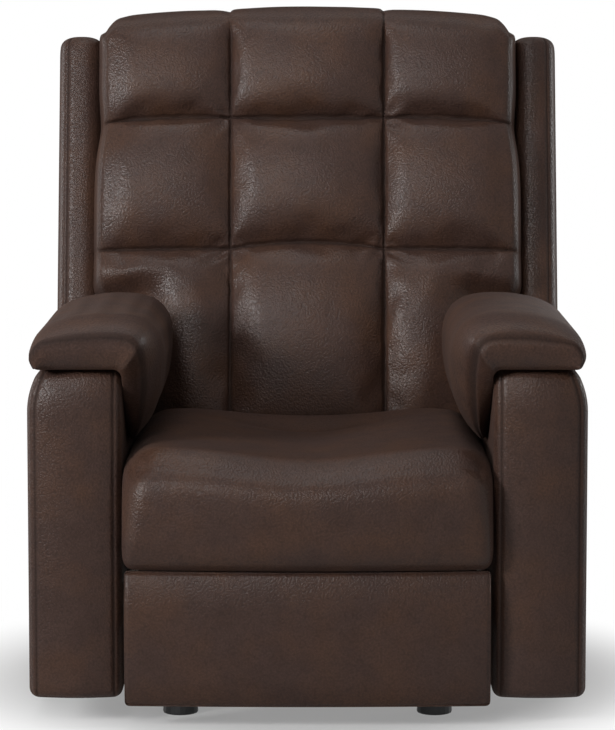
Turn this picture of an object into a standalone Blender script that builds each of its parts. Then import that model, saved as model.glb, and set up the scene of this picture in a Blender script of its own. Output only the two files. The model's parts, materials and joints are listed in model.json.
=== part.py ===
"""Power rocker recliner: leather armchair on a rocker base, with a motor-driven back and footrest.

Metres, +Z up. The chair faces -Y, +X is to the right of someone looking at its front, and the
origin is on the floor below the middle of the chair.
"""

import math

import bmesh
import bpy
from mathutils import Matrix, Vector

# Clearances
SEAT_FIT = 0.0003
PIN_FIT = 0.0005
LAYER_GAP = 0.0015

# Overall
SEAT_GAP = 0.570
ARM_WIDTH = 0.145
FLOOR_GAP = 0.045
FRONT_Y = -0.440

# Arms and pads
ARM_TOP = 0.555
ARM_REAR_TOP_Y = 0.200
ARM_REAR_FOOT_Y = 0.300
ARM_EDGE_RADIUS = 0.014
PAD_CROWN = 0.083
PAD_DROP = 0.100
PAD_BULGE = 0.063
PAD_OVERHANG = 0.003
PAD_LIP = 0.017
PAD_REAR_Y = 0.060

# Panel between the arms at the rear, and the power inlet on it
REAR_PANEL_TOP = 0.225
REAR_PANEL_THICK = 0.014
REAR_PANEL_INSET = 0.016
INLET_WIDTH = 0.036
INLET_DEPTH = 0.020
INLET_HEIGHT = 0.026
INLET_X = 0.150
INLET_Z = 0.130
SOCKET_RADIUS = 0.007
SOCKET_DEPTH = 0.014

# Seat
SEAT_DECK_TOP = 0.315
SEAT_DECK_THICK = 0.019
SEAT_TOP = 0.440
SEAT_NOSE_Y = -0.487
SEAT_NOSE_BOTTOM = 0.247
SEAT_REAR_Y = 0.066
SEAT_CROWN = 0.010
SEAT_SIDE_GAP = 0.002
SEAT_RAIL_HEIGHT = 0.022
SEAT_RAIL_DEPTH = 0.025

# Back, measured along its own leaning axes from the recline pivot
RECLINE_PIVOT = Vector((0, 0.200, 0.360))
BACK_LEAN = math.radians(14)
BACK_TOP = 0.755
BACK_ARCH = 0.018
BACK_FOOT = -0.030
BACK_HALF_WIDTH = 0.352
BACK_WAIST_HALF = 0.262
SHOULDER = 0.250
SHOULDER_RISE = 0.022
CUSHION_DEPTH = 0.110
TUFT_DEPTH = 0.024
COLUMN_SEAM = 0.131
ROW_SEAMS = (0.320, 0.549)
CUSHION_REAR = 0.020
FRAME_THICK = 0.012
SHELL_REAR = 0.1175
SHELL_FOOT = -0.045
WING_WIDTH = 0.077
WING_FRONT = -0.078
WING_TOP = 0.708

# Footrest
FOOTREST_BOTTOM = 0.037
FOOTREST_TOP = 0.240
FOOTREST_FRONT_Y = -0.470
FOOTREST_THICK = 0.030
FOOTREST_CROWN = 0.004
FOOTREST_SIDE_GAP = 0.004

# Steel plates of the mechanism, from the arm inwards
PLATE = 0.003
RAIL_PLATE = 0.004
LINK_HALF_WIDTH = 0.011
PIN_RADIUS = 0.0055
RAIL_BOTTOM = 0.140
RAIL_TOP = 0.226
RAIL_FRONT_Y = -0.262
RAIL_REAR_Y = 0.180
TUBE_RADIUS = 0.011
SQUARE_TUBE = 0.025

# Footrest linkage at rest, in the plane of the side plates (y, z)
FRONT_LINK_PIVOT = Vector((-0.310, 0.280))
FRONT_LINK_LENGTH = 0.235
FRONT_LINK_ANGLE = math.radians(-115)
LOWER_LINK_END = Vector((-0.405, 0.170))
PARALLEL_ARM = 0.048
UPPER_LINK_TAIL = 0.060
REAR_LINK_PIVOT = Vector((-0.2603, 0.2520))
DRIVE_TUBE_ARM = 0.070
TAIL_PLAY = 0.0016

# Swing links that carry the seat
SWING_FRONT_TOP = Vector((-0.200, 0.285))
SWING_REAR_TOP = Vector((0.100, 0.285))
SWING_LENGTH = 0.090
SWING_LEAN = math.radians(20)

# Rocker base
ROCK_Z = 0.095
ROCKER_X = 0.200
ROCKER_THICK = 0.036
ROCKER_HALF_LENGTH = 0.200
ROCKER_APEX_RADIUS = 0.080
ROCKER_FLANK = math.radians(7.6)
ROCKER_GAP = 0.0009
ROCKER_TOP = 0.150
BASE_RAIL_WIDTH = 0.050
BASE_RAIL_HEIGHT = 0.042
BASE_FRONT_Y = -0.350
BASE_REAR_Y = 0.250
FOOT_RADIUS = 0.028
FOOT_INSET = 0.032
CROSS_FRONT_Y = -0.130
CROSS_REAR_Y = 0.130
SPRING_X = 0.145
SPRING_RADIUS = 0.016
SPRING_WIRE = 0.0022
SPRING_CURLS = 5
SPRING_STEPS = 10

# Control panel on the outside of one arm
PANEL_LENGTH = 0.084
PANEL_HEIGHT = 0.044
PANEL_THICK = 0.0045
PANEL_Y = -0.230
PANEL_Z = 0.430
BUTTON_RADIUS = 0.0135
BUTTON_SPACING = 0.036
BUTTON_PROUD = 0.0028
BUTTON_TRAVEL = 0.002

# Actuator
TRACK_WIDTH = 0.034
TRACK_HEIGHT = 0.020
TRACK_FRONT_Y = -0.235
MOTOR_LENGTH = 0.110
MOTOR_WIDTH = 0.080
MOTOR_HEIGHT = 0.056
CARRIAGE_REAR_Y = -0.020
CARRIAGE_LENGTH = 0.050
YOKE_PLAY = 0.011
YOKE_CLEARANCE = 0.008
YOKE_WALL = 0.006
YOKE_TOP = 0.250

# Worked out from the sizes above
ARM_INNER = SEAT_GAP / 2
ARM_OUTER = ARM_INNER + ARM_WIDTH
RAIL_X = ARM_INNER - SEAT_FIT - RAIL_PLATE / 2
SWING_X = RAIL_X - RAIL_PLATE / 2 - LAYER_GAP - PLATE / 2
SEAT_PLATE_X = SWING_X - PLATE - LAYER_GAP
LINK_X = SEAT_PLATE_X - PLATE - LAYER_GAP
CROSSED_LINK_X = LINK_X - PLATE - LAYER_GAP
BRACKET_X = CROSSED_LINK_X - PLATE - LAYER_GAP
DECK_HALF = SEAT_PLATE_X - PLATE / 2 - SEAT_FIT
FRAME_WAIST_HALF = LINK_X - PLATE / 2 - SEAT_FIT
INNER_RAIL_HALF = BRACKET_X - PLATE / 2 - LAYER_GAP
FOOT_HEIGHT = ROCK_Z - BASE_RAIL_HEIGHT

LEATHER = ("brown leather", (0.060, 0.036, 0.029), 0.45, 0.0)
STEEL = ("black steel", (0.035, 0.036, 0.038), 0.40, 0.9)
ZINC = ("zinc-plated steel", (0.55, 0.55, 0.53), 0.35, 1.0)
BEECH = ("beech", (0.47, 0.30, 0.16), 0.55, 0.0)
PLASTIC = ("black plastic", (0.018, 0.018, 0.019), 0.50, 0.0)
SATIN = ("satin metal", (0.42, 0.42, 0.43), 0.30, 1.0)

parts = None
cutters = None


def clear_scene():
    for obj in list(bpy.data.objects):
        bpy.data.objects.remove(obj, do_unlink=True)


def make_collections():
    global parts, cutters
    parts = bpy.data.collections.new("power_rocker_recliner")
    cutters = bpy.data.collections.new("cutters")
    cutters.hide_render = True
    for collection in (parts, cutters):
        bpy.context.scene.collection.children.link(collection)


def material(finish):
    name, colour, roughness, metallic = finish
    found = bpy.data.materials.get(name)
    if found:
        return found
    made = bpy.data.materials.new(name)
    made.use_nodes = True
    shader = made.node_tree.nodes["Principled BSDF"]
    shader.inputs["Base Color"].default_value = (*colour, 1)
    shader.inputs["Roughness"].default_value = roughness
    shader.inputs["Metallic"].default_value = metallic
    return made


def joint_axis(name, point, parent=None):
    """An empty on a joint's axis. The pieces that move on the joint hang from it."""
    empty = bpy.data.objects.new(name, None)
    parts.objects.link(empty)
    empty.empty_display_size = 0.03
    empty.location = Vector(point)
    if parent:
        empty.parent = parent
        empty.location = Vector(point) - parent.matrix_world.translation
    bpy.context.view_layer.update()
    return empty


def add_piece(name, mesh, finish, body=None, matrix=None, smooth_angle=35):
    """A named piece at its place, hung from the empty of its body."""
    obj = bpy.data.objects.new(name, mesh)
    parts.objects.link(obj)
    mesh.materials.clear()
    mesh.materials.append(material(finish))
    mesh.shade_smooth()
    mesh.set_sharp_from_angle(angle=math.radians(smooth_angle))
    if matrix:
        obj.matrix_world = matrix
    if body:
        obj.parent = body
        obj.matrix_parent_inverse = body.matrix_world.inverted()
    return obj


def add_cutter(name, mesh):
    obj = bpy.data.objects.new(name, mesh)
    cutters.objects.link(obj)
    obj.hide_render = True
    obj.display_type = "WIRE"
    return obj


def add_boolean(obj, other, operation):
    modifier = obj.modifiers.new(f"{operation.lower()} {other.name}", "BOOLEAN")
    modifier.operation = operation
    modifier.solver = "EXACT"
    modifier.object = other


def bevel(obj, width, segments=2):
    modifier = obj.modifiers.new("rounded edges", "BEVEL")
    modifier.width = width
    modifier.segments = segments
    modifier.limit_method = "ANGLE"
    modifier.angle_limit = math.radians(30)


def box_mesh(name, low, high):
    mesh = bpy.data.meshes.new(name)
    shape = bmesh.new()
    bmesh.ops.create_cube(shape, size=1)
    size = Vector(high) - Vector(low)
    middle = (Vector(high) + Vector(low)) / 2
    bmesh.ops.transform(shape, matrix=Matrix.Translation(middle) @ Matrix.Diagonal((*size, 1)), verts=shape.verts)
    shape.to_mesh(mesh)
    shape.free()
    return mesh


def cylinder_mesh(name, start, end, radius, sides=12, end_radius=None):
    mesh = bpy.data.meshes.new(name)
    shape = bmesh.new()
    axis = Vector(end) - Vector(start)
    turn = axis.to_track_quat("Z", "Y").to_matrix().to_4x4()
    middle = Matrix.Translation((Vector(start) + Vector(end)) / 2)
    bmesh.ops.create_cone(
        shape,
        cap_ends=True,
        segments=sides,
        radius1=radius,
        radius2=radius if end_radius is None else end_radius,
        depth=axis.length,
        matrix=middle @ turn,
    )
    shape.to_mesh(mesh)
    shape.free()
    return mesh


def loft_mesh(name, rings):
    """A closed skin through rings of equally many points, with a flat cap on the first and last."""
    mesh = bpy.data.meshes.new(name)
    shape = bmesh.new()
    rows = [[shape.verts.new(point) for point in ring] for ring in rings]
    count = len(rows[0])
    for low, high in zip(rows, rows[1:]):
        for i in range(count):
            k = (i + 1) % count
            shape.faces.new((low[i], low[k], high[k], high[i]))
    shape.faces.new(rows[0][::-1])
    shape.faces.new(rows[-1])
    bmesh.ops.recalc_face_normals(shape, faces=shape.faces)
    shape.to_mesh(mesh)
    shape.free()
    return mesh


def arc(centre, radius, start, end, count):
    """Points from one angle to another round a centre, both ends included."""
    step = (end - start) / (count - 1)
    return [centre + radius * Vector((math.cos(start + i * step), math.sin(start + i * step))) for i in range(count)]


def circle(centre, radius, count=12):
    return arc(centre, radius, 0, 2 * math.pi * (count - 1) / count, count)


def capsule(start, end, radius, count=7):
    """Outline of a strip with round ends about two pivots."""
    along = math.atan2(end.y - start.y, end.x - start.x)
    quarter = math.pi / 2
    head = arc(end, radius, along - quarter, along + quarter, count)
    return head + arc(start, radius, along + quarter, along + 3 * quarter, count)


def rounded(corners, radius, count=4):
    """An outline with its corners, given anticlockwise, rounded."""
    points = []
    for i, corner in enumerate(corners):
        before = (corners[i - 1] - corner).normalized()
        after = (corners[(i + 1) % len(corners)] - corner).normalized()
        half = before.angle(after) / 2
        reach = radius / math.tan(half)
        first, last = corner + before * reach, corner + after * reach
        centre = corner + (before + after).normalized() * radius / math.sin(half)
        for j in range(count):
            blend = first.lerp(last, j / (count - 1)) - centre
            points.append(centre + blend.normalized() * radius)
    return points


def drawn_mesh(name, curve):
    """The closed mesh of a curve."""
    drawn = bpy.data.objects.new(name, curve)
    cutters.objects.link(drawn)
    bpy.context.view_layer.update()
    mesh = bpy.data.meshes.new_from_object(drawn.evaluated_get(bpy.context.evaluated_depsgraph_get()))
    bpy.data.objects.remove(drawn, do_unlink=True)
    shape = bmesh.new()
    shape.from_mesh(mesh)
    bmesh.ops.remove_doubles(shape, verts=shape.verts, dist=1e-6)
    bmesh.ops.recalc_face_normals(shape, faces=shape.faces)
    shape.to_mesh(mesh)
    shape.free()
    return mesh


def flat_mesh(name, outline, holes, thickness):
    """A flat plate in its own XY plane, centred on it, with holes."""
    curve = bpy.data.curves.new(name, "CURVE")
    curve.dimensions = "2D"
    curve.fill_mode = "BOTH"
    curve.extrude = thickness / 2
    for points in (outline, *holes):
        spline = curve.splines.new("POLY")
        spline.points.add(len(points) - 1)
        for spot, point in zip(spline.points, points):
            spot.co = (point.x, point.y, 0, 1)
        spline.use_cyclic_u = True
    return drawn_mesh(name, curve)


# A plate drawn in XY stands in the YZ plane: its X runs along Y and its Y along Z.
UPRIGHT = Matrix(((0, 0, 1, 0), (1, 0, 0, 0), (0, 1, 0, 0), (0, 0, 0, 1)))


def side_plate(name, outline, x, thickness, finish, body=None, holes=(), pins=()):
    """An upright plate across X. A pin is (pivot, x at its far end), fused to the plate."""
    mesh = flat_mesh(name, outline, holes, thickness)
    mesh.transform(Matrix.Translation((x, 0, 0)) @ UPRIGHT)
    obj = add_piece(name, mesh, finish, body)
    for pivot, far_x in pins:
        start = (x, pivot.x, pivot.y)
        end = (far_x, pivot.x, pivot.y)
        pin = add_cutter(f"{name}_pin", cylinder_mesh(f"{name}_pin", start, end, PIN_RADIUS))
        add_boolean(obj, pin, "UNION")
    return obj


def pin_hole(pivot):
    """A hole that a faceted pin turns in."""
    return circle(pivot, (PIN_RADIUS + PIN_FIT) / math.cos(math.pi / 12))


def both_sides():
    return (("left", -1), ("right", 1))


def direction(angle):
    """Unit vector in (y, z) at an angle above the forward direction."""
    return Vector((-math.cos(angle), math.sin(angle)))


def cushion_outline(edge, radius, points_per_corner=4):
    return rounded([Vector(point) for point in edge], radius, points_per_corner)


# Rocker base


def build_base():
    for side, sign in both_sides():
        x = sign * ROCKER_X
        half = BASE_RAIL_WIDTH / 2
        low = (x - half, BASE_FRONT_Y, FOOT_HEIGHT)
        high = (x + half, BASE_REAR_Y, ROCK_Z)
        rail = add_piece(f"base_rail_{side}", box_mesh("rail", low, high), BEECH)
        bevel(rail, 0.005)
        for place, y in (("front", BASE_FRONT_Y + FOOT_INSET), ("rear", BASE_REAR_Y - FOOT_INSET)):
            start = (x, y, FOOT_HEIGHT - SEAT_FIT)
            foot = cylinder_mesh("foot", start, (x, y, 0), FOOT_RADIUS * 0.86, 20, FOOT_RADIUS)
            piece = add_piece(f"foot_{place}_{side}", foot, PLASTIC)
            bevel(piece, 0.003)
    inner = ROCKER_X - BASE_RAIL_WIDTH / 2 - SEAT_FIT
    for place, y in (("front", CROSS_FRONT_Y), ("rear", CROSS_REAR_Y)):
        low = (-inner, y - BASE_RAIL_WIDTH / 2, FOOT_HEIGHT)
        high = (inner, y + BASE_RAIL_WIDTH / 2, ROCK_Z)
        cross = add_piece(f"base_cross_rail_{place}", box_mesh("cross", low, high), BEECH)
        bevel(cross, 0.005)


def build_rocker_springs():
    """Coil springs between the cross rails of the base and the cross tubes of the chair."""
    gaps = []
    for place, y in (("front", CROSS_FRONT_Y), ("rear", CROSS_REAR_Y)):
        for side, sign in both_sides():
            points = spring_points(sign * SPRING_X, y)
            add_wire(f"rocker_spring_{place}_{side}", points, SPRING_WIRE, ZINC)
            gaps.append(least_self_gap(points))
    print(f"rocker springs: least gap between curls {1000 * min(gaps):.2f} mm")


def spring_points(x, y):
    """The middle line of a coil with half a flat turn at each end."""
    start = ROCK_Z + SEAT_FIT + SPRING_WIRE
    end = ROCKER_TOP - SPRING_WIRE
    count = SPRING_CURLS * SPRING_STEPS
    flat = SPRING_STEPS // 2
    points = []
    for i in range(count + 1):
        turn = 2 * math.pi * i / SPRING_STEPS
        rise = min(max((i - flat) / (count - 2 * flat), 0), 1)
        ring = SPRING_RADIUS * Vector((math.cos(turn), math.sin(turn), 0))
        points.append(Vector((x, y, start + (end - start) * rise)) + ring)
    return points


def least_self_gap(points):
    """Least gap between points of a wire that are half a curl or more apart along it."""
    apart = SPRING_STEPS // 2
    pairs = ((a, b) for i, a in enumerate(points) for b in points[i + apart :])
    return min((a - b).length for a, b in pairs) - 2 * SPRING_WIRE


def add_wire(name, points, radius, finish):
    """A round wire along points, as a mesh."""
    curve = bpy.data.curves.new(name, "CURVE")
    curve.dimensions = "3D"
    curve.bevel_depth = radius
    curve.bevel_resolution = 1
    curve.use_fill_caps = True
    spline = curve.splines.new("POLY")
    spline.points.add(len(points) - 1)
    for spot, point in zip(spline.points, points):
        spot.co = (*point, 1)
    return add_piece(name, drawn_mesh(name, curve), finish, smooth_angle=60)


# Fixed chair frame, which rocks on the base


def build_chair(chair):
    for side, sign in both_sides():
        build_rocker(side, sign, chair)
        build_mech_rail(side, sign, chair)
        build_arm(side, sign, chair)
        build_arm_pad(side, sign, chair)
    tube_half = RAIL_X - RAIL_PLATE / 2 - SEAT_FIT
    bottom = ROCKER_TOP + SEAT_FIT
    for place, y in (("front", CROSS_FRONT_Y), ("rear", CROSS_REAR_Y)):
        low = (-tube_half, y - SQUARE_TUBE / 2, bottom)
        high = (tube_half, y + SQUARE_TUBE / 2, bottom + SQUARE_TUBE)
        tube = add_piece(f"chair_cross_tube_{place}", box_mesh("tube", low, high), STEEL, chair)
        bevel(tube, 0.003)
    build_rear_panel(chair)


def build_rocker(side, sign, chair):
    """A rocker with a round apex and two straight flanks, which rolls on the base rail."""
    apex = Vector((0, ROCK_Z + ROCKER_GAP + ROCKER_APEX_RADIUS))
    quarter = math.pi / 2
    curve = arc(apex, ROCKER_APEX_RADIUS, -quarter - ROCKER_FLANK, -quarter + ROCKER_FLANK, 7)
    reach = ROCKER_HALF_LENGTH - curve[-1].x
    tip = Vector((ROCKER_HALF_LENGTH, curve[-1].y + reach * math.tan(ROCKER_FLANK)))
    top = Vector((ROCKER_HALF_LENGTH, ROCKER_TOP))
    outline = [Vector((-tip.x, tip.y)), *curve, tip, top, Vector((-top.x, top.y))]
    side_plate(f"rocker_{side}", outline, sign * ROCKER_X, ROCKER_THICK, BEECH, chair)


def build_mech_rail(side, sign, chair):
    """A steel rail bolted to the arm, which the swing links and cross tubes are fixed to."""
    corners = [(RAIL_FRONT_Y, RAIL_BOTTOM), (RAIL_REAR_Y, RAIL_BOTTOM)]
    corners += [(RAIL_REAR_Y, RAIL_TOP), (RAIL_FRONT_Y, RAIL_TOP)]
    outline = cushion_outline(corners, 0.012)
    holes = [pin_hole(swing_foot(top)) for top in (SWING_FRONT_TOP, SWING_REAR_TOP)]
    side_plate(f"mechanism_rail_{side}", outline, sign * RAIL_X, RAIL_PLATE, STEEL, chair, holes)


def arm_rear_y(z):
    """Where the leaning rear edge of the arm is at a height."""
    return ARM_REAR_FOOT_Y + (ARM_REAR_TOP_Y - ARM_REAR_FOOT_Y) * (z - FLOOR_GAP) / (ARM_TOP - FLOOR_GAP)


def build_arm(side, sign, chair):
    corners = [(FRONT_Y, FLOOR_GAP), (ARM_REAR_FOOT_Y, FLOOR_GAP), (ARM_REAR_TOP_Y, ARM_TOP), (FRONT_Y, ARM_TOP)]
    outline = [Vector(corner) for corner in corners]
    middle = sign * (ARM_INNER + ARM_WIDTH / 2)
    arm = side_plate(f"arm_{side}", outline, middle, ARM_WIDTH, LEATHER, chair)
    bevel(arm, ARM_EDGE_RADIUS, 3)


def pad_section():
    """The pillow over an arm in (x, z): it lies on the arm and folds down over its inner face."""
    inner, outer, under = ARM_INNER - 2 * SEAT_FIT, ARM_OUTER, ARM_TOP + SEAT_FIT
    top, foot = ARM_TOP + PAD_CROWN, ARM_TOP - PAD_DROP
    bulge = inner - PAD_BULGE
    return [
        Vector((inner, foot + 0.006)),
        Vector((inner, under)),
        Vector((outer - 0.006, under)),
        Vector((outer + PAD_OVERHANG, under + 0.016)),
        Vector((outer + PAD_OVERHANG * 0.6, under + 0.045)),
        Vector((outer - 0.024, top - 0.022)),
        Vector((outer - 0.070, top - 0.006)),
        Vector((inner + 0.016, top)),
        Vector((inner - 0.030, top - 0.008)),
        Vector((inner - 0.054, top - 0.030)),
        Vector((bulge, top - 0.070)),
        Vector((bulge + 0.005, top - 0.128)),
        Vector((bulge + 0.021, foot + 0.022)),
        Vector((inner - 0.020, foot)),
    ]


def build_arm_pad(side, sign, chair):
    section = pad_section()
    spine = [Vector((ARM_INNER - 0.030, z)) for z in (ARM_TOP - 0.070, ARM_TOP, ARM_TOP + 0.045)]
    spine += [Vector((x, ARM_TOP + 0.045)) for x in (ARM_INNER + 0.050, ARM_OUTER - 0.050)]
    front, rear = FRONT_Y - PAD_LIP, PAD_REAR_Y
    stations = [(front, 0.62), (front + 0.006, 0.86), (front + 0.022, 1), ((front + rear) / 2, 1)]
    stations += [(rear - 0.030, 1), (rear - 0.009, 0.86), (rear, 0.60)]
    rings = []
    for y, fullness in stations:
        ring = []
        for point in section:
            core = min(spine, key=lambda spot: (spot - point).length)
            spot = core.lerp(point, fullness)
            ring.append((sign * spot.x, y, spot.y))
        rings.append(ring)
    add_piece(f"arm_pad_{side}", loft_mesh("pad", rings), LEATHER, chair, smooth_angle=60)


def build_rear_panel(chair):
    """The panel between the arms, low at the rear."""
    low, high = FLOOR_GAP + 0.005, REAR_PANEL_TOP
    rear_low, rear_high = arm_rear_y(low) - REAR_PANEL_INSET, arm_rear_y(high) - REAR_PANEL_INSET
    corners = [(rear_low - REAR_PANEL_THICK, low), (rear_low, low)]
    corners += [(rear_high, high), (rear_high - REAR_PANEL_THICK, high)]
    outline = [Vector(corner) for corner in corners]
    panel = side_plate("rear_panel", outline, 0, 2 * (ARM_INNER - 0.0005), LEATHER, chair)
    bevel(panel, 0.003)
    build_power_inlet(math.atan2(rear_low - rear_high, high - low), chair)


def build_power_inlet(lean, chair):
    """The socket for the power supply, square on the leaning rear panel."""
    half = Vector((INLET_WIDTH, INLET_DEPTH, INLET_HEIGHT)) / 2
    inlet = add_piece("power_inlet", box_mesh("inlet", -half, half), PLASTIC)
    bottom = (0, half.y - SOCKET_DEPTH, 0)
    socket = add_cutter("inlet_socket", cylinder_mesh("socket", bottom, (0, INLET_DEPTH, 0), SOCKET_RADIUS, 16))
    socket.parent = inlet
    bevel(inlet, 0.002)
    add_boolean(inlet, socket, "DIFFERENCE")
    face = Vector((INLET_X, arm_rear_y(INLET_Z) - REAR_PANEL_INSET, INLET_Z))
    away = Matrix.Translation((0, half.y + SEAT_FIT, 0))
    inlet.matrix_world = Matrix.Translation(face) @ Matrix.Rotation(lean, 4, "X") @ away
    inlet.parent = chair
    inlet.matrix_parent_inverse = chair.matrix_world.inverted()


# Control panel and its buttons, on the outside of the sitter's right arm


def build_controls(chair):
    inner_face = -(ARM_OUTER + SEAT_FIT)
    outer_face = inner_face - PANEL_THICK
    half, tall = PANEL_LENGTH / 2, PANEL_HEIGHT / 2
    corners = [(PANEL_Y - half, PANEL_Z - tall), (PANEL_Y + half, PANEL_Z - tall)]
    corners += [(PANEL_Y + half, PANEL_Z + tall), (PANEL_Y - half, PANEL_Z + tall)]
    outline = cushion_outline(corners, 0.012, 5)
    spots = [Vector((PANEL_Y + shift, PANEL_Z)) for shift in (-BUTTON_SPACING / 2, BUTTON_SPACING / 2)]
    holes = [circle(spot, BUTTON_RADIUS + 0.0005, 24) for spot in spots]
    middle = (inner_face + outer_face) / 2
    side_plate("control_panel", outline, middle, PANEL_THICK, PLASTIC, chair, holes)
    for name, spot in zip(("button_recline", "button_return"), spots):
        axis = joint_axis(f"{name}_axis", (middle, spot.x, spot.y), chair)
        start = (inner_face + SEAT_FIT - BUTTON_TRAVEL - 0.0008, spot.x, spot.y)
        end = (outer_face - BUTTON_PROUD, spot.x, spot.y)
        button = add_piece(name, cylinder_mesh(name, start, end, BUTTON_RADIUS, 24), SATIN, axis)
        bevel(button, 0.0007)


# Actuator


def build_actuator(chair):
    bottom = ROCKER_TOP + 2 * SEAT_FIT + SQUARE_TUBE
    motor_front = CROSS_REAR_Y - MOTOR_LENGTH / 2
    low = (-TRACK_WIDTH / 2, TRACK_FRONT_Y, bottom)
    high = (TRACK_WIDTH / 2, motor_front - SEAT_FIT, bottom + TRACK_HEIGHT)
    track = add_piece("actuator_track", box_mesh("track", low, high), ZINC, chair)
    bevel(track, 0.003)
    low = (-MOTOR_WIDTH / 2, motor_front, bottom)
    high = (MOTOR_WIDTH / 2, motor_front + MOTOR_LENGTH, bottom + MOTOR_HEIGHT)
    motor = add_piece("actuator_motor", box_mesh("motor", low, high), PLASTIC, chair)
    bevel(motor, 0.010, 3)
    centre = Vector((0, CROSS_REAR_Y, bottom + MOTOR_HEIGHT / 2))
    can = cylinder_mesh("can", centre, centre + Vector((0.120, 0, 0)), 0.026, 24)
    add_boolean(motor, add_cutter("motor_can", can), "UNION")
    build_carriage(bottom + TRACK_HEIGHT + SEAT_FIT, chair)


def drive_tube_centre():
    return FRONT_LINK_PIVOT + DRIVE_TUBE_ARM * direction(FRONT_LINK_ANGLE)


def build_carriage(bottom, chair):
    """A sliding block with an arm and a yoke, which pushes the drive tube from behind."""
    tube = drive_tube_centre()
    rear_wall = tube.x + TUBE_RADIUS + SEAT_FIT
    front_wall = tube.x - TUBE_RADIUS - YOKE_PLAY
    web = tube.y - TUBE_RADIUS - YOKE_CLEARANCE
    arm_top = bottom + 0.010
    block_rear = CARRIAGE_REAR_Y
    block_front = block_rear - CARRIAGE_LENGTH
    points = [
        (front_wall - YOKE_WALL, web - YOKE_WALL),
        (rear_wall + 0.018, web - YOKE_WALL),
        (rear_wall + 0.024, bottom),
        (block_rear, bottom),
        (block_rear, bottom + 0.022),
        (block_front, bottom + 0.022),
        (block_front - 0.012, arm_top),
        (rear_wall + YOKE_WALL + 0.010, arm_top),
        (rear_wall + YOKE_WALL, arm_top + 0.010),
        (rear_wall + YOKE_WALL, YOKE_TOP),
        (rear_wall, YOKE_TOP),
        (rear_wall, web),
        (front_wall, web),
        (front_wall, YOKE_TOP),
        (front_wall - YOKE_WALL, YOKE_TOP),
    ]
    axis = joint_axis("actuator_axis", (0, block_rear, bottom), chair)
    outline = [Vector(point) for point in points]
    side_plate("actuator_carriage", outline, 0, TRACK_WIDTH, STEEL, axis)


# Seat on its swing links


def swing_foot(top):
    """The lower pivot of a swing link."""
    return top - SWING_LENGTH * Vector((math.sin(SWING_LEAN), math.cos(SWING_LEAN)))


def build_swing_links(place, top, axis):
    foot = swing_foot(top)
    for side, sign in both_sides():
        outline = capsule(foot, top, LINK_HALF_WIDTH)
        rail_face = sign * (RAIL_X + RAIL_PLATE / 2 - 0.0005)
        plate_face = sign * (SEAT_PLATE_X - PLATE / 2)
        pins = ((foot, rail_face), (top, plate_face))
        side_plate(f"swing_link_{place}_{side}", outline, sign * SWING_X, PLATE, ZINC, axis, pins=pins)


def build_seat(seat):
    deck_bottom = SEAT_DECK_TOP - SEAT_DECK_THICK
    low = (-DECK_HALF, FRONT_Y + 0.060, deck_bottom)
    high = (DECK_HALF, SEAT_REAR_Y - 0.010, SEAT_DECK_TOP)
    add_piece("seat_deck", box_mesh("deck", low, high), BEECH, seat)
    for place, y in (("front", FRONT_Y + 0.065), ("rear", SEAT_REAR_Y - 0.045)):
        low = (-INNER_RAIL_HALF, y, deck_bottom - SEAT_FIT - SEAT_RAIL_HEIGHT)
        high = (INNER_RAIL_HALF, y + SEAT_RAIL_DEPTH, deck_bottom - SEAT_FIT)
        rail = add_piece(f"seat_rail_{place}", box_mesh("rail", low, high), BEECH, seat)
        bevel(rail, 0.003)
    for side, sign in both_sides():
        build_seat_plate(side, sign, seat)
    build_seat_cushion(seat)


def build_seat_plate(side, sign, seat):
    """The steel side of the seat, from the footrest links to the recline pivot."""
    pivot = Vector(RECLINE_PIVOT.yz)
    low, high = 0.236, SEAT_DECK_TOP - 0.0005
    corners = [(FRONT_LINK_PIVOT.x - 0.026, low), (0.125, 0.258), (pivot.x + 0.032, pivot.y - 0.008)]
    corners += [(pivot.x + 0.005, pivot.y + 0.032), (pivot.x - 0.030, pivot.y + 0.012)]
    corners += [(0.115, high), (FRONT_LINK_PIVOT.x - 0.026, high)]
    pivots = (pivot, FRONT_LINK_PIVOT, REAR_LINK_PIVOT, SWING_FRONT_TOP, SWING_REAR_TOP)
    outline = cushion_outline(corners, 0.012)
    holes = [pin_hole(spot) for spot in pivots]
    side_plate(f"seat_plate_{side}", outline, sign * SEAT_PLATE_X, PLATE, STEEL, seat, holes)


def seat_section():
    """The seat cushion in (y, z), from its rear foot round the nose to its rear top."""
    under, top, nose, foot = SEAT_DECK_TOP + SEAT_FIT, SEAT_TOP, SEAT_NOSE_Y, SEAT_NOSE_BOTTOM
    return [
        Vector((SEAT_REAR_Y, under)),
        Vector((FRONT_Y + 0.045, under)),
        Vector((FRONT_Y + 0.020, foot + 0.025)),
        Vector((nose + 0.033, foot)),
        Vector((nose + 0.010, foot + 0.014)),
        Vector((nose, foot + 0.060)),
        Vector((nose + 0.006, foot + 0.115)),
        Vector((nose + 0.027, foot + 0.158)),
        Vector((nose + 0.065, top - 0.008)),
        Vector((nose + 0.130, top)),
        Vector((nose + 0.290, top)),
        Vector((SEAT_REAR_Y - 0.080, top)),
        Vector((SEAT_REAR_Y - 0.020, top - 0.010)),
        Vector((SEAT_REAR_Y, top - 0.040)),
    ]


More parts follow.
